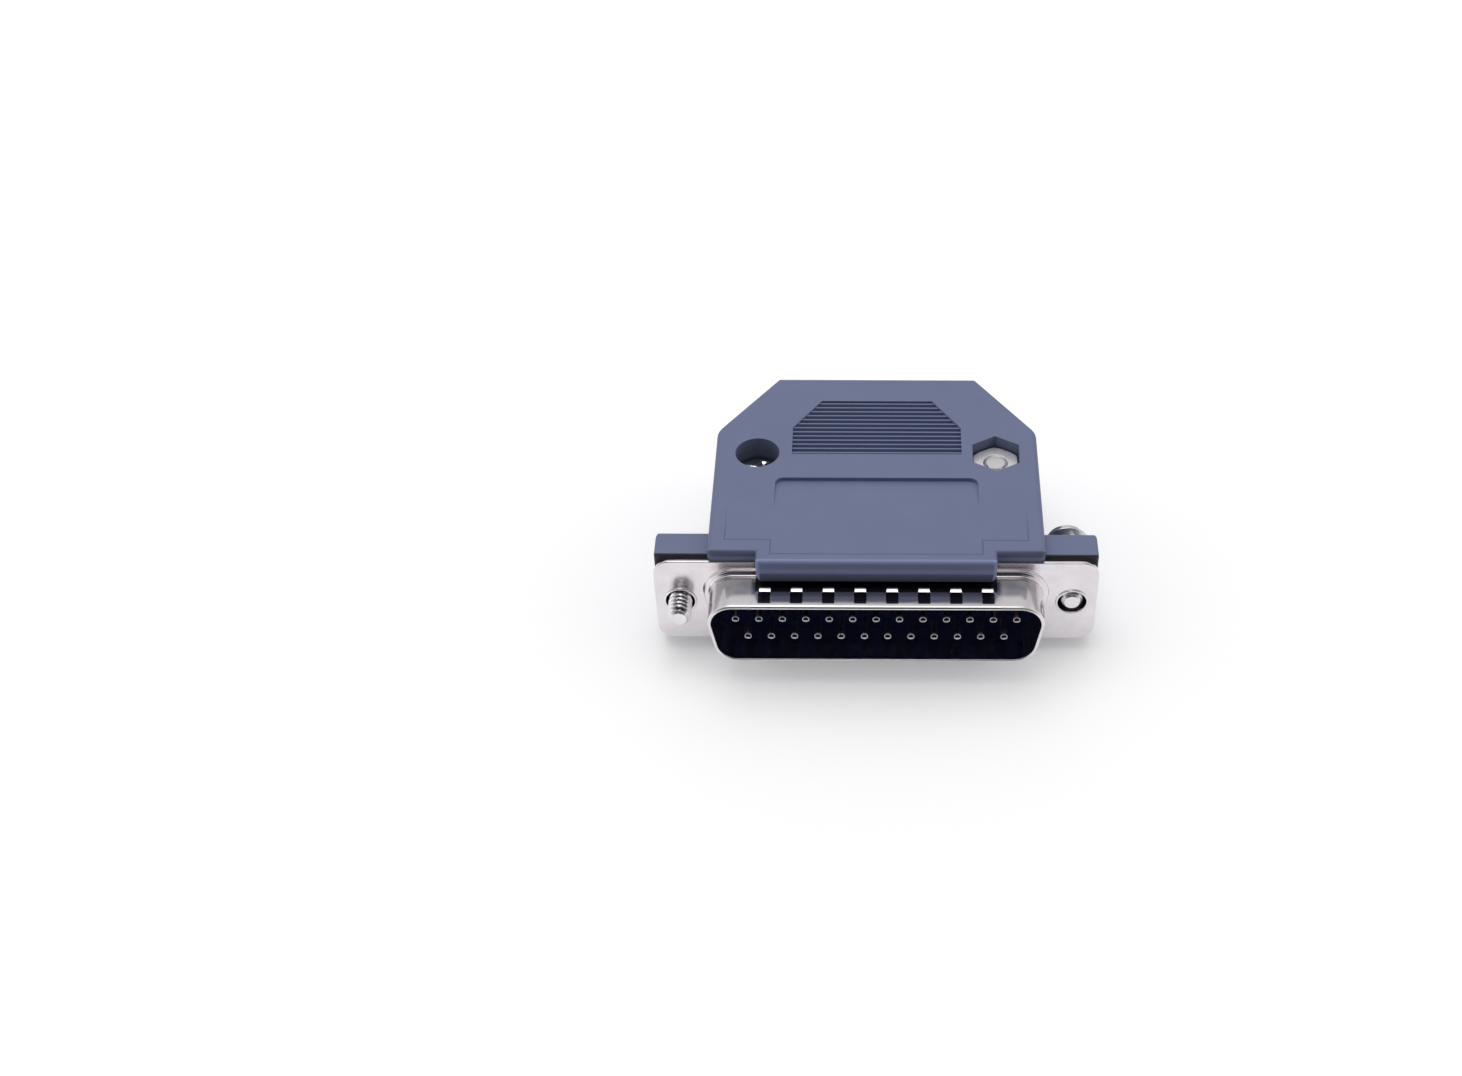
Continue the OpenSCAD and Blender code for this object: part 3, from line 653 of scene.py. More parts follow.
@dataclass(frozen=True)
class Axis:
    """A turning axis: a point on it and its direction, in millimetres."""

    origin: Triple
    along: Triple

    def place(self, radius: np.ndarray, angle: np.ndarray, distance: np.ndarray) -> np.ndarray:
        """Turns cylinder coordinates into points.

        The point is origin + distance * along + radius * (cos(angle) * u + sin(angle) * v), where u,
        v and along are a right-handed set of unit vectors. u points up, or back on an upright axis.

        Args:
            radius: Distance from the axis, by row and column.
            angle: Angle round it, by row and column.
            distance: Distance along it, by row and column.

        Returns:
            The points, by row, column and axis.
        """
        along = np.array(self.along)
        u = np.array([0.0, 1.0, 0.0] if along[2] else [0.0, 0.0, 1.0])
        v = np.cross(along, u)
        return (np.array(self.origin) + distance[..., None] * along
                + (radius * np.cos(angle))[..., None] * u + (radius * np.sin(angle))[..., None] * v)


def turned(name: str, axis: Axis, profile: np.ndarray, columns: int = TURN_COLUMNS,
           close_rows: bool = False) -> bpy.types.Object:
    """Turns a profile round an axis.

    Args:
        name: Name of the object.
        axis: The axis.
        profile: Points of (radius, distance along the axis), one a row.
        columns: Number of points in one turn.
        close_rows: Whether the profile is a closed loop off the axis.

    Returns:
        The new object.
    """
    angle = np.broadcast_to(column_angles(columns), (len(profile), columns))
    radius = np.broadcast_to(profile[:, :1], angle.shape)
    distance = np.broadcast_to(profile[:, 1:], angle.shape)
    return surface(name, axis.place(radius, angle, distance), close_rows)


def cut(target: bpy.types.Object, cutter: bpy.types.Object) -> None:
    """Takes the cutter out of the target's mesh and removes the cutter.

    Args:
        target: Object that is cut.
        cutter: Closed object that is taken away.
    """
    step = target.modifiers.new("hole", "BOOLEAN")
    step.operation = "DIFFERENCE"
    step.solver = "EXACT"
    step.object = cutter
    graph = bpy.context.evaluated_depsgraph_get()
    mesh = bpy.data.meshes.new_from_object(target.evaluated_get(graph))
    target.modifiers.clear()
    target.data = mesh
    finish_shading(mesh)
    bpy.data.objects.remove(cutter)


def dress(obj: bpy.types.Object, finish: Finish, body: str, node: str) -> bpy.types.Object:
    """Gives a new piece its finish and its body, and hides the CAD node that it replaces.

    Args:
        obj: The piece.
        finish: Its finish.
        body: Body that it rides on.
        node: CAD node that it replaces.

    Returns:
        The piece.
    """
    obj.data.materials.clear()
    obj.data.materials.append(material_of(finish))
    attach(obj, body)
    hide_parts(node)
    LOG.info("%s: %d faces", obj.name, len(obj.data.polygons))
    return obj


# The D outline and the front shell


@dataclass(frozen=True)
class Outline:
    """An outline with four round corners, counter-clockwise from the upper right one.

    Its point at radius r is a centre plus r times a normal. On a corner the centre stands still and
    the normal turns, and on a flat the centre moves and the normal stands still.
    """

    half_x: float
    low_x: float
    half_z: float
    slope: float = 0.0

    def along(self, arcs: np.ndarray, flats: list[np.ndarray]) -> tuple[np.ndarray, np.ndarray]:
        """Samples the outline.

        Args:
            arcs: Shares of each corner's turn, from 0 up to but not including 1.
            flats: Shares of each of the four flats, likewise.

        Returns:
            The centres and the outward normals, as x and z, one row a column of the grid.
        """
        corners = np.array([[self.half_x, self.half_z], [-self.half_x, self.half_z],
                            [-self.low_x, -self.half_z], [self.low_x, -self.half_z]])
        turns = [(-self.slope, 90.0), (90.0, 180.0 + self.slope), (180.0 + self.slope, 270.0),
                 (270.0, 360.0 - self.slope)]
        centres, normals = [], []
        for k, (start, end) in enumerate(turns):
            here, after = corners[k], corners[(k + 1) % 4]
            angle = np.radians(start + (end - start) * arcs)
            centres.append(np.tile(here, (len(arcs), 1)))
            normals.append(np.column_stack([np.cos(angle), np.sin(angle)]))
            last = np.radians(end)
            centres.append(here + (after - here) * flats[k][:, None])
            normals.append(np.tile([np.cos(last), np.sin(last)], (len(flats[k]), 1)))
        return np.vstack(centres), np.vstack(normals)


def section_rows(radius: np.ndarray | float, rim: np.ndarray | float, share: np.ndarray | float,
                 y: np.ndarray | float, pressed: float = 0.0) -> np.ndarray:
    """Returns rows of the shell's section, in which a single number fills its column."""
    return np.column_stack(np.broadcast_arrays(radius, rim, share, y, pressed))


@dataclass
class FrontShell:
    """The front shell: one drawn sheet with flange, raised platform, D-shaped skirt and dimples.

    The skirt draws in by draw_in over draw_run behind its rim. A dimple's rear slopes are given by
    their distance from its rear edge and their depth there.
    """

    skirt_w: float = 39.86
    skirt_h: float = 9.26
    corner_r: float = 3.05
    slope: float = 10.0
    sheet: float = 0.45
    rim_r: float = 0.34
    rim_in: float = 0.15
    draw_in: float = 0.04
    draw_run: float = 1.2
    foot_r: float = 0.25
    platform_h: float = 0.4
    platform_w: float = 0.7
    edge_r: float = 0.25
    hem_r: float = 0.15
    flange_r: float = 2.1
    plate: float = 0.5
    punch_r: float = 0.14
    inner_bevel: float = 0.1
    screw_x: float = 23.52
    hole_r: float = 1.83
    hole_run: Span = (-2.0, 2.0)
    dimple_n: int = 8
    dimple_w: float = 1.4
    dimple_len: float = 2.6
    dimple_y: float = -3.87
    dimple_soft: float = 0.1
    dimple_bow: float = 0.15
    rear_steps: tuple[Pair, ...] = ((0.0, 0.0), (0.44, 0.225))
    inner_share: float = 0.3
    side_columns: tuple[float, ...] = (-0.14, -0.09, -0.045, 0.0, 0.045, 0.09)
    middle_columns: tuple[float, ...] = (-0.4, 0.0, 0.4)
    gap_columns: tuple[float, ...] = (0.4, 0.5, 0.6)
    end_run: float = 1.6
    run_columns: int = 4
    corner_columns: int = 18
    end_columns: int = 5
    skirt_rows: tuple[int, int, int] = (9, 12, 6)
    flange_rows: tuple[int, int] = (7, 6)
    level: float = 0.9999

    def centres(self) -> Triple:
        """Works out the D's corner centres.

        Returns:
            The x of the upper ones, the x of the lower ones, and their z.
        """
        x = self.skirt_w / 2 - self.corner_r
        z = self.skirt_h / 2 - self.corner_r
        return x, x - 2 * z * math.tan(math.radians(self.slope)), z

    def dimple_x(self) -> np.ndarray:
        """Returns the x of each dimple's middle."""
        return (np.arange(self.dimple_n) - (self.dimple_n - 1) / 2) * DIMPLE_PITCH

    def column_x(self, half: float) -> np.ndarray:
        """Places the grid's columns on a long flat, closest together at the dimples' sides.

        Args:
            half: Half the flat's length.

        Returns:
            The x of each column, in rising order.
        """
        near, half_w = np.array(self.side_columns), self.dimple_w / 2
        step = np.concatenate([-half_w - near, self.middle_columns, half_w + near])
        gaps = self.dimple_x()[:-1, None] + DIMPLE_PITCH * np.array(self.gap_columns)
        run = np.linspace(half - self.end_run, half, self.run_columns)
        x = np.concatenate([(self.dimple_x()[:, None] + step).ravel(), gaps.ravel(), -run, run])
        return np.unique(np.round(x, 5))

    def profile(self, flange_front: float, skirt_front: float) -> np.ndarray:
        """Draws the sheet's closed section.

        Args:
            flange_front: y of the flange's front face.
            skirt_front: y of the skirt's rim.

        Returns:
            One row a point: the radius on the D outline, the radius on the flange's outline, the
            share of the flange's outline, y, and how far a dimple presses the point in.
        """
        out, inner = self.corner_r, self.corner_r - self.sheet
        top, back = flange_front - self.platform_h, flange_front + self.plate
        edge = out + self.platform_w
        near, far = self.dimple_y - self.dimple_len / 2, self.dimple_y + self.dimple_len / 2
        before, within, after = self.skirt_rows
        skirt_y = np.unique(np.round(np.concatenate([
            np.linspace(skirt_front + self.rim_r, near, before),
            np.linspace(near, far - self.rear_steps[-1][0], within),
            [far - run for run, _ in self.rear_steps], np.linspace(far, top - self.foot_r, after)]), 5))
        drawn = self.draw_in * np.clip(1.0 - (skirt_y - skirt_y[0]) / self.draw_run, 0.0, 1.0) ** 2
        lip_in, lip_out = inner - self.draw_in + self.rim_in, out - self.draw_in - self.rim_r
        last, pocket, rim = edge + self.hem_r, edge - self.sheet, self.flange_r - self.punch_r
        side = np.vstack([arc((rim, flange_front + self.punch_r), self.punch_r, 270, 360, 6)[1:],
                          arc((rim, back - self.punch_r), self.punch_r, 0, 90, 4)])
        under_y, bevel = back - self.platform_h, self.inner_bevel
        outwards, inwards = (np.linspace(0.0, 1.0, count) for count in self.flange_rows)
        front = [
            (arc((lip_in, skirt_front + self.rim_in), self.rim_in, 180, 270, 7), 0.0),
            (arc((lip_out, skirt_front + self.rim_r), self.rim_r, 270, 360, 9)[:-1], 0.0),
            (np.column_stack([out - drawn, skirt_y]), 1.0),
            (arc((out + self.foot_r, top - self.foot_r), self.foot_r, 180, 90, 8)[1:], 0.0),
            (arc((edge - self.edge_r, top + self.edge_r), self.edge_r, 270, 360, 8), 0.0),
            (arc((edge + self.hem_r, flange_front - self.hem_r), self.hem_r, 180, 90, 7), 0.0),
        ]
        behind = [
            (np.array([[pocket, under_y], [inner + bevel, under_y], [inner, under_y - bevel]]), 0.0),
            (np.column_stack([inner - drawn, skirt_y])[::-1], self.inner_share),
        ]
        return np.vstack([
            *(section_rows(points[:, 0], 0.0, 0.0, points[:, 1], pressed) for points, pressed in front),
            section_rows(last, rim, outwards[1:], flange_front),
            section_rows(last, side[:, 0], 1.0, side[:, 1]),
            section_rows(pocket, rim, inwards[-2::-1], back),
            *(section_rows(points[:, 0], 0.0, 0.0, points[:, 1], pressed) for points, pressed in behind),
        ])

    def pressing(self, x: np.ndarray, y: np.ndarray) -> np.ndarray:
        """Works out how deep the dimples press the sheet in.

        A dimple's floor drops from its front edge as a parabola that runs out towards the rear, where
        straight slopes rise to the skirt. The depth is the lesser of both times a ramp at its sides.

        Args:
            x: Place along the long side, by row and column.
            y: Distance behind the flange, likewise.

        Returns:
            The depth, likewise.
        """
        aside = np.abs(x[..., None] - self.dimple_x()).min(axis=-1)
        across = ease((self.dimple_w / 2 + self.dimple_soft / 2 - aside) / self.dimple_soft)
        runs, depths = np.array(self.rear_steps).T
        behind = y - self.dimple_y + self.dimple_len / 2
        share = np.clip(behind / (self.dimple_len - runs[-1]), 0.0, 1.0)
        floor = depths[-1] * share * (1.0 + self.dimple_bow * (1.0 - share))
        return across * np.minimum(floor, np.interp(self.dimple_len - behind, runs, depths))

    def build(self) -> bpy.types.Object:
        """Builds the shell and cuts its two flange holes.

        The section is carried round both outlines. Its point is the D's, less the dimples' depth on
        the level flats, mixed with the flange's by the section's share.

        Returns:
            The shell's object, which rides on the root body and replaces the CAD node.
        """
        low, high = box_mm("front_shell")
        x, low_x, z = self.centres()
        flange = Outline(high[0] - self.flange_r, high[0] - self.flange_r, high[2] - self.flange_r)
        top_x, under_x = self.column_x(x), self.column_x(low_x)
        arcs = np.linspace(0.0, 1.0, self.corner_columns, endpoint=False)
        ends = np.linspace(0.0, 1.0, self.end_columns, endpoint=False)
        flats = [(x - top_x[:0:-1]) / (2 * x), ends, (under_x[:-1] + low_x) / (2 * low_x), ends]
        d_centre, d_normal = Outline(x, low_x, z, self.slope).along(arcs, flats)
        f_centre, f_normal = flange.along(arcs, flats)
        radius, flange_radius, share, y, pressed = (
            c[:, None] for c in self.profile(high[1] - self.plate, low[1]).T)
        flat = (np.abs(d_normal[:, 1]) > self.level)[None, :]
        depth = pressed * flat * self.pressing(d_centre[None, :, 0], y)
        on_d = d_centre + (radius - depth)[..., None] * d_normal
        on_flange = f_centre + flange_radius[..., None] * f_normal
        plane = (1 - share)[..., None] * on_d + share[..., None] * on_flange
        rows = np.broadcast_to(y, plane.shape[:2])
        shell = surface("drawn_front_shell", np.dstack([plane[..., 0], rows, plane[..., 1]]), True)
        start, end = self.hole_run
        hole = np.array([[0.0, 0.0], [self.hole_r, 0.0], [self.hole_r, end - start], [0.0, end - start]])
        for side in (-1.0, 1.0):
            pin = Axis((side * self.screw_x, start, 0.0), (0.0, 1.0, 0.0))
            cut(shell, turned("hole_cutter", pin, hole))
        return dress(shell, TIN, "root", "front_shell")


# Screws, washers, eyelets and contacts


class Drive(Enum):
    """The recess in a screw's head: its span, depth and wall's run in shares of the head's diameter."""

    CROSS = (0.56, 0.26, 0.04)
    WIDE_CROSS = (0.8, 0.16, 0.15)


@dataclass
class Screw:
    """A machine screw with a domed head, a cross recess and a cut thread.

    Distances run along the axis, from the plane that the head seats on towards the tip. The dome's
    drop and the head's lip are shares of its height, and the thread's depth is a share of its pitch.
    """

    name: str
    axis: Axis
    head_d: float
    head_h: float
    thread_d: float
    pitch: float
    thread_from: float
    length: float
    neck_d: float
    body: str
    finish: Plating
    slot: str
    node: str
    drive: Drive = Drive.CROSS
    dome: float = 0.42
    turn_deg: float = 0.0
    lip: float = 0.14
    seat_bevel: float = 0.6
    neck_bevel: float = 0.05
    bar_half: float = 0.13
    bar_rise: float = 0.55
    bar_least: float = 0.2
    vee: Pair = (1.15, 1.3)
    thread_depth: float = 0.58
    run_in: float = 0.8
    run_from: float = 0.02
    tip_bevel: float = 0.35
    tip_ring: float = 0.6
    lip_rows: int = 6
    columns: int = TURN_COLUMNS
    dome_rows: int = 34
    turn_rows: int = 14

    def recess(self, radius: np.ndarray, angle: np.ndarray) -> np.ndarray:
        """Works out the depth of the cross recess.

        A cross is the place where one of two bars holds the point. The depth grows from the bars'
        sides inwards, and from their ends to the middle.

        Args:
            radius: Distance from the axis, by row and column.
            angle: Angle round it, likewise.

        Returns:
            The depth, likewise.
        """
        span, depth, wall = (share * self.head_d for share in self.drive.value)
        from_bar = angle - math.radians(self.turn_deg)
        a, b = np.abs(radius * np.cos(from_bar)), np.abs(radius * np.sin(from_bar))
        half, end = span * self.bar_half, span / 2
        inside = np.maximum(np.minimum(half - a, end - b), np.minimum(half - b, end - a))
        share = (1.0 - self.bar_rise * radius / end).clip(self.bar_least, 1.0)
        return depth * ease(inside / wall) * share

    def thread(self, distance: np.ndarray, angle: np.ndarray) -> np.ndarray:
        """Works out the radius of a right-hand V thread with flat crests and round roots.

        The thread's phase is the distance less the share of a turn, counted in pitches. Its depth
        fades at the start of the thread, and the tip is bevelled.

        Args:
            distance: Distance along the axis, by row and column.
            angle: Angle round it, likewise.

        Returns:
            The radius, likewise.
        """
        phase = np.mod(-distance / self.pitch - angle / (2 * np.pi), 1.0)
        top, fall = self.vee
        vee = np.clip(top - np.abs(2.0 * phase - 1.0) * fall, 0.0, 1.0)
        fade = ease((distance - self.thread_from) / (self.run_in * self.pitch))
        cut_to = self.thread_d / 2 - self.thread_depth * self.pitch * vee * fade
        bevelled = self.thread_d / 2 - np.clip(self.tip_bevel - (self.length - distance), 0.0, None)
        return np.minimum(cut_to, bevelled)

    def build(self) -> bpy.types.Object:
        """Builds the screw as one grid, from the middle of the head to the middle of the tip.

        Returns:
            The screw's object.
        """
        r, neck, lip = self.head_d / 2, self.neck_d / 2, self.head_h * self.lip
        across = np.linspace(0.0, 1.0, self.dome_rows) * (r - lip)
        dome = np.column_stack([across, -self.head_h + self.head_h * self.dome * (across / r) ** 2])
        seat = lip * self.seat_bevel
        edge = np.vstack([arc((r - lip, dome[-1, 1] + lip), lip, 270, 360, self.lip_rows)[1:],
                          [[r, -seat], [r - seat, 0.0], [neck + self.neck_bevel, 0.0],
                           [neck, self.neck_bevel]]])
        head = np.vstack([dome, edge, [[neck, self.thread_from - self.run_from]]])
        turns = (self.length - self.thread_from) / self.pitch
        body = np.linspace(self.thread_from, self.length, int(turns * self.turn_rows))
        angle = column_angles(self.columns)[None, :]
        head_r = np.broadcast_to(head[:, :1], (len(head), self.columns))
        head_y = head[:, 1:] + np.zeros((1, self.columns))
        head_y[:len(dome)] += self.recess(head_r[:len(dome)], angle)
        body_y = body[:, None] + np.zeros((1, self.columns))
        body_r = self.thread(body_y, angle)
        end_r = body_r[-1:] * np.array([[self.tip_ring], [0.0]])
        radius = np.vstack([head_r, body_r, end_r])
        distance = np.vstack([head_y, body_y, np.full((2, self.columns), self.length)])
        grid = self.axis.place(radius, np.broadcast_to(angle, radius.shape), distance)
        return dress(surface(self.name, grid), self.finish, self.body, self.node)


@dataclass
class SpringWasher:
    """A split spring washer under a jackscrew's head: a square wire that rises a little in one turn."""

    side: str
    hole_d: float = 3.0
    gap_deg: float = 14.0
    start_deg: float = 84.0
    rise: float = 0.3
    soft: float = 0.09
    soft_points: int = 5
    rows: int = 90

    def build(self) -> bpy.types.Object:
        """Builds the washer inside its CAD node's box.

        The section is a rounded rectangle. It is carried round the axis, and its distance along the
        axis grows evenly with the angle, and both ends are closed.

        Returns:
            The washer's object.
        """
        node = f"jackscrew_washer_{self.side}"
        low, high = box_mm(node)
        centre = (low + high) / 2
        outer, inner, thick = (high[0] - low[0]) / 2, self.hole_d / 2, high[1] - low[1] - self.rise
        half_w, half_t = (outer - inner) / 2 - self.soft, thick / 2 - self.soft
        middle = (outer + inner) / 2
        section = np.vstack([
            arc((middle + sx * half_w, sy * half_t), self.soft, start, start + 90, self.soft_points)
            for sx, sy, start in ((1, 1, 0), (-1, 1, 90), (-1, -1, 180), (1, -1, 270))])
        closed = np.broadcast_to([middle, 0.0], section.shape)
        grid = np.stack([closed, *[section] * self.rows, closed])
        share = np.concatenate([[0.0], np.linspace(0.0, 1.0, self.rows), [1.0]])[:, None]
        angle = np.radians(self.start_deg + share * (360.0 - self.gap_deg))
        axis = Axis(tuple(centre), (0.0, 1.0, 0.0))
        points = axis.place(grid[..., 0], np.broadcast_to(angle, grid.shape[:2]),
                            grid[..., 1] + (share - 0.5) * self.rise)
        washer = surface(f"spring_washer_{self.side}", points)
        return dress(washer, JACK, f"washer_{self.side}", node)


@dataclass
class Eyelet:
    """The eyelet pressed into a flange hole, with a thin rolled rim on both faces.

    The sizes of its rolls are shares of how far it stands out of the flange.
    """

    side: str
    bore: float = 3.46
    wall: float = 0.1
    front_roll: float = 0.9
    funnel_roll: float = 0.5
    back_roll: float = 0.8
    roll_deg: float = -80.0
    roll_rows: int = 7
    inner_y: float = 0.02

    def build(self) -> bpy.types.Object:
        """Builds the eyelet in its CAD node's box, as a closed profile turned round the hole.

        Returns:
            The eyelet's object.
        """
        node = f"flange_eyelet_{self.side}"
        low, high = box_mm(node)
        rim, bore, wall, out, end = (high[0] - low[0]) / 2, self.bore / 2, self.wall, -low[1], high[1]
        front, funnel = out * self.front_roll, out * self.funnel_roll
        profile = np.vstack([
            arc((rim - front, 0.0), front, 0, self.roll_deg, self.roll_rows),
            arc((bore + funnel, -funnel), funnel, 270, 180, self.roll_rows),
            [[bore, end - wall], [bore + wall, end], [rim, end], [rim, end - out * self.back_roll],
             [bore + wall, end - out], [bore + wall, self.inner_y]]])
        axis = Axis(((low[0] + high[0]) / 2, 0.0, 0.0), (0.0, 1.0, 0.0))
        eyelet = turned(f"rolled_eyelet_{self.side}", axis, profile, close_rows=True)
        return dress(eyelet, EYELET, "root", node)


@dataclass
class Contact:
    """A turned contact. Its pin ends in a thin ring round a flared bore, behind which it widens.

    The bore and its flare have a radius and a depth, and the shoulder and the cup a beginning and an
    end.
    """

    number: int
    pin_r: float = 0.5
    bore: Pair = (0.27, 0.45)
    bore_floor: float = 0.9
    flare: Pair = (0.345, 0.135)
    ring: float = 0.04
    ring_deg: Span = (200.0, 330.0)
    ring_rows: int = 8
    taper: float = 0.5
    shoulder_r: float = 0.85
    shoulder: Span = (1.8, 2.8)
    cup: Span = (3.9, 5.5)
    cup_bore_r: float = 0.675
    cup_bevel: float = 0.1
    columns: int = 32

    def build(self) -> bpy.types.Object:
        """Builds the contact in its CAD node's box as a profile turned round the pin.

        Returns:
            The contact's object, whose bore has painted shade: a near-black finish of its own.
        """
        node = f"contact_{self.number:02d}"
        low, high = box_mm(node)
        x, z, tip, end = (low[0] + high[0]) / 2, (low[2] + high[2]) / 2, low[1], high[1]
        r, cup_r, shoulder_r, bevel = self.pin_r, (high[0] - low[0]) / 2, self.shoulder_r, self.cup_bevel
        hole_r, hole = self.bore
        flare_r, flare = self.flare
        profile = np.vstack([
            [[0.0, tip + hole], [hole_r * self.bore_floor, tip + hole * self.bore_floor],
             [hole_r, tip + flare]],
            arc((flare_r + self.ring, tip + self.ring), self.ring, *self.ring_deg, self.ring_rows),
            [[r, tip + self.taper], [r, self.shoulder[0]], [shoulder_r, self.shoulder[0]],
             [shoulder_r, self.shoulder[1]], [r, self.shoulder[1]], [r, self.cup[0]],
             [cup_r, self.cup[0]], [cup_r, end - bevel], [cup_r - bevel, end], [self.cup_bore_r, end],
             [self.cup_bore_r, self.cup[1]], [0.0, self.cup[1]]]])
        contact = turned(f"turned_{node}", Axis((x, 0.0, z), (0.0, 1.0, 0.0)), profile, self.columns)
        dress(contact, CONTACT, "root", node)
        # Painted shade: the faces inside the bore get the near-black finish.
        contact.data.materials.append(material_of(BORE_SHADE))
        middles = np.empty(len(contact.data.polygons) * 3)
        contact.data.polygons.foreach_get("center", middles)
        face_x, face_y, face_z = middles.reshape(-1, 3).T / MM
        inside = (np.hypot(face_x - x, face_z - z) < hole_r) & (face_y < tip + hole)
        contact.data.polygons.foreach_set("material_index", inside.astype(int))
        return contact


@dataclass
class Fasteners:
    """All screws, washers, eyelets and contacts, placed by the boxes of their CAD nodes.

    A jackscrew's head has a diameter and a height, and its thread a diameter, pitch and length. The
    other screws have a head's height and a thread's diameter and pitch.
    """

    contact_n: int = 25
    sides: tuple[str, ...] = ("left", "right")
    jack_head: Pair = (4.8, 1.7)
    jack_thread: Triple = (2.84, 0.635, 3.8)
    jack_neck: float = 2.2
    jack_bevel: float = 0.5
    hood_screw: Triple = (2.0, 3.0, 0.5)
    clamp_screw: Triple = (1.8, 2.5, 0.45)
    shank: float = 0.4
    dome: float = 0.1
    turn_deg: float = 22.0

    def jackscrew(self, side: str) -> Screw:
        """Sizes the captive jackscrew of one side: domed head, thin neck and short thread.

        Args:
            side: Which one.

        Returns:
            The screw.
        """
        node = f"jackscrew_{side}"
        low, high = box_mm(node)
        (head_d, head_h), (thread_d, pitch, thread) = self.jack_head, self.jack_thread
        centre, seat = (low + high) / 2, high[1] - head_h
        axis = Axis((centre[0], seat, centre[2]), (0.0, -1.0, 0.0))
        length = seat - low[1]
        return Screw(f"threaded_{node}", axis, head_d, head_h, thread_d, pitch, length - thread, length,
                     self.jack_neck, f"screw_{side}", JACK, "jackscrew_steel", node,
                     tip_bevel=self.jack_bevel)

    def upright(self, node: str, sizes: Triple, downwards: bool) -> Screw:
        """Sizes a screw whose axis is upright.

        Args:
            node: CAD node that it replaces.
            sizes: Its head's height, and its thread's diameter and pitch.
            downwards: Whether it points down, with its head on top.

        Returns:
            The screw.
        """
        low, high = box_mm(node)
        head_h, thread_d, pitch = sizes
        seat = high[2] - head_h if downwards else low[2] + head_h
        axis = Axis(((low[0] + high[0]) / 2, (low[1] + high[1]) / 2, seat),
                    (0.0, 0.0, -1.0 if downwards else 1.0))
        return Screw(f"threaded_{node}", axis, high[0] - low[0], head_h, thread_d, pitch, self.shank,
                     high[2] - low[2] - head_h, thread_d, "root", FASTENER, "fastener_steel", node,
                     Drive.WIDE_CROSS, self.dome, self.turn_deg)

    def build(self) -> None:
        """Builds every contact, screw, washer and eyelet."""
        for number in range(1, self.contact_n + 1):
            Contact(number).build()
        for side in self.sides:
            self.jackscrew(side).build()
            self.upright(f"hood_screw_{side}", self.hood_screw, side == "left").build()
            self.upright(f"clamp_screw_{side}", self.clamp_screw, True).build()
            SpringWasher(side).build()
            Eyelet(side).build()


# CAD nodes that stay


@dataclass(frozen=True)
class Softening:
    """How the edges of a CAD node that stays are rounded."""

    width: float
    segments: int = 3
    angle_deg: float = 28.0
    flat_deg: float = 0.6
    weld: float = 0.002
    face_weight: int = 100

    def apply(self, obj: bpy.types.Object) -> None:
        """Adds the modifiers that weld the node's loose triangles, join flat ones and round edges.

        Args:
            obj: The node's object.
        """
        weld = obj.modifiers.new("weld", "WELD")
        weld.merge_threshold = self.weld * MM
        flat = obj.modifiers.new("flats", "DECIMATE")
        flat.decimate_type = "DISSOLVE"
        flat.angle_limit = math.radians(self.flat_deg)
        bevel = obj.modifiers.new("edges", "BEVEL")
        bevel.width = self.width * MM
        bevel.segments = self.segments
        bevel.limit_method = "ANGLE"
        bevel.angle_limit = math.radians(self.angle_deg)
        bevel.miter_outer = "MITER_ARC"
        even = obj.modifiers.new("normals", "WEIGHTED_NORMAL")
        even.mode = "FACE_AREA"
        even.weight = self.face_weight


@dataclass
class KeptNodes:
    """The CAD nodes that stay, each with its finish and how its edges are softened."""

    plans: tuple[tuple[tuple[str, ...], Finish, Softening | None], ...] = (
        (("upper_hood", "lower_hood"), HOOD, Softening(0.12)),
        (("front_insulator", "rear_insulator"), BLACK, None),
        (("rear_shell",), TIN, None),
        (("cable_clamp_upper", "cable_clamp_lower"), STRIP, Softening(0.1)),
        (("hood_nut_left", "hood_nut_right", "clamp_nut_left", "clamp_nut_right"), NUT, Softening(0.07)),
    )

    def dress(self, nodes: dict[str, bpy.types.Object]) -> None:
        """Gives each kept node its material and its edges.

        Args:
            nodes: The frame's nodes.
        """
        for names, finish, softening in self.plans:
            for name in names:
                node = nodes[name]
                if not node.material_slots:
                    node.data.materials.append(None)
                for slot in node.material_slots:
                    slot.material = material_of(finish)
                if softening:
                    softening.apply(node)
                LOG.info("%s: %s", name, finish.name)


# Studio


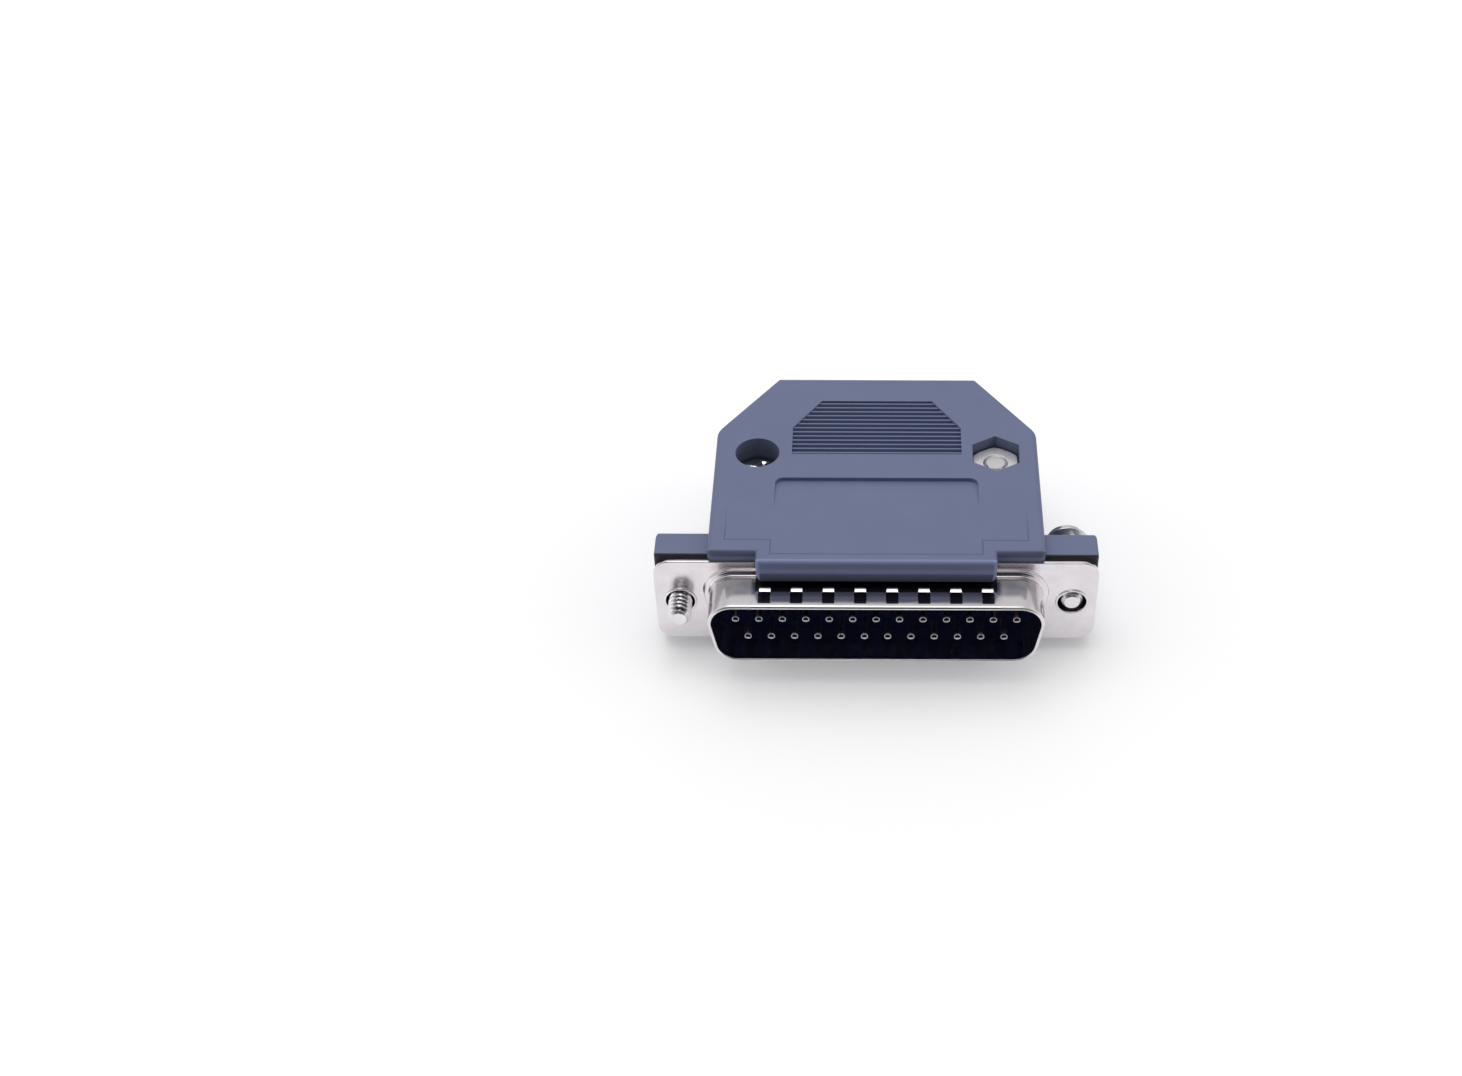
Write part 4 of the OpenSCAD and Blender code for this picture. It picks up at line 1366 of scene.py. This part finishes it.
@dataclass
class Studio:
    """The camera at the photograph's angle, a pale floor and soft light.

    The room's light is a ramp over the height of a direction that leans back, to which a direction
    that points aside or to the rear adds: where that begins, where it is full, and how much it is.
    """

    image: Pair = (1462.0, 1076.0)
    focal_px: float = 2003.4
    origin_px: Pair = (876.2, 600.97)
    elevation: float = 44.26
    distance: float = 240.9
    roll: float = 0.22
    sensor: float = 36.0
    clip: Span = (0.01, 20.0)
    floor_half: float = 3.0
    floor_pale: Colour = (0.93, 0.93, 0.935)
    floor_dim: Colour = (0.1, 0.1, 0.1)
    floor_glow: Colour = (0.27, 0.27, 0.27)
    floor_rough: float = 0.9
    floor_specular: float = 0.1
    backdrop: Colour = (0.95, 0.95, 0.955)
    lean: float = 20.0
    room: tuple[Pair, ...] = ((0.0, 0.01), (0.36, 0.02), (0.56, 0.42), (0.9, 0.66), (1.0, 0.7))
    room_blue: float = 1.01
    side_light: Triple = (0.5, 0.95, 0.85)
    rear_light: Triple = (0.76, 0.95, 0.4)
    lamp_at: Triple = (-0.12, 0.12, 0.9)
    lamp_size: float = 0.7
    lamp_power: float = 2.35

    def camera(self) -> None:
        """Makes the camera, aimed at the origin, which a shift puts on its pixel of the photograph."""
        data = bpy.data.cameras.new("camera")
        wide, high = self.image
        data.sensor_width = self.sensor
        data.lens = self.focal_px / wide * self.sensor
        data.shift_x = (wide / 2 - self.origin_px[0]) / wide
        data.shift_y = (self.origin_px[1] - high / 2) / wide
        data.clip_start, data.clip_end = self.clip
        e = math.radians(self.elevation)
        back = Vector((0.0, -math.cos(e), math.sin(e)))
        camera = bpy.data.objects.new("camera", data)
        camera.location = back * self.distance * MM
        camera.rotation_mode = "QUATERNION"
        turn = Quaternion((0.0, 0.0, 1.0), math.radians(self.roll))
        camera.rotation_quaternion = (-back).to_track_quat("-Z", "Y") @ turn
        bpy.context.scene.collection.objects.link(camera)
        bpy.context.scene.camera = camera

    def floor(self, height: float) -> None:
        """Makes the pale floor, which shows camera and reflections its own even brightness.

        Args:
            height: Its height, in metres.
        """
        mesh = bpy.data.meshes.new("floor")
        h = self.floor_half
        mesh.from_pydata([(-h, -h, height), (h, -h, height), (h, h, height), (-h, h, height)], [],
                         [(0, 1, 2, 3)])
        floor = bpy.data.objects.new("floor", mesh)
        bpy.context.scene.collection.objects.link(floor)
        shader = Shader("floor_paper")
        rays = shader.node("ShaderNodeLightPath", {}, {}).outputs
        seen = Signal(shader, rays["Is Camera Ray"]).most(Signal(shader, rays["Is Glossy Ray"]))
        shader.give({
            "Base Color": shader.mix(seen, self.floor_dim, self.floor_pale),
            "Emission Color": shader.mix(seen, DARK, self.floor_glow),
            "Emission Strength": 1.0,
            "Roughness": self.floor_rough,
            "Specular IOR Level": self.floor_specular,
        })
        mesh.materials.append(shader.material)
        floor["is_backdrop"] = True

    def lamp(self) -> None:
        """Makes the soft square lamp, aimed at the origin."""
        data = bpy.data.lights.new("key", "AREA")
        data.size = self.lamp_size
        data.energy = self.lamp_power
        lamp = bpy.data.objects.new("key", data)
        lamp.location = self.lamp_at
        lamp.rotation_mode = "QUATERNION"
        lamp.rotation_quaternion = (-Vector(self.lamp_at)).to_track_quat("-Z", "Y")
        bpy.context.scene.collection.objects.link(lamp)

    def world(self) -> None:
        """Makes the room's light, and the backdrop that the camera sees instead of it."""
        world = bpy.data.worlds.new("room")
        bpy.context.scene.world = world
        world.use_nodes = True
        room = Nodes(world.node_tree)
        direction = room.node("ShaderNodeTexCoord", {}, {}).outputs["Generated"]
        parts = room.node("ShaderNodeSeparateXYZ", {}, {0: direction}).outputs
        lean = math.radians(self.lean)
        tilt = room.node("ShaderNodeVectorMath", {"operation": "DOT_PRODUCT"},
                         {0: direction, 1: (0.0, math.sin(lean), math.cos(lean))})
        stops = [(at, (level, level, level * self.room_blue)) for at, level in self.room]
        ramp = room.node("ShaderNodeValToRGB", {"stops": stops}, {0: tilt.outputs["Value"]})
        light = ramp.outputs[0]
        aside, rear = abs(Signal(room, parts["X"])), Signal(room, parts["Y"])
        for source, (start, full, level) in ((aside, self.side_light), (rear, self.rear_light)):
            both = room.node("ShaderNodeVectorMath", {"operation": "ADD"},
                             {0: light, 1: source.between(start, full) * level})
            light = both.outputs[0]
        rays = room.node("ShaderNodeLightPath", {}, {}).outputs
        seen = room.mix(Signal(room, rays["Is Camera Ray"]), light, self.backdrop)
        background = room.tree.nodes["Background"].inputs
        room.set(background["Color"], seen)
        room.set(background["Strength"], 1.0)

    def build(self, floor_z: float) -> None:
        """Builds the camera, the floor and the light.

        Args:
            floor_z: Height of the floor, in metres.
        """
        self.camera()
        self.floor(floor_z)
        self.world()
        self.lamp()
        bpy.context.scene.view_settings.view_transform = "Standard"


def main() -> None:
    """Builds the plug's looks round the frame, then the studio."""
    logging.basicConfig(level=logging.INFO, format="%(name)s: %(message)s")
    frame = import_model()
    cad_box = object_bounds()
    FrontShell().build()
    Fasteners().build()
    KeptNodes().dress(frame["nodes"])
    Studio().build(cad_box[0].z)


if __name__ == "__main__":
    main()
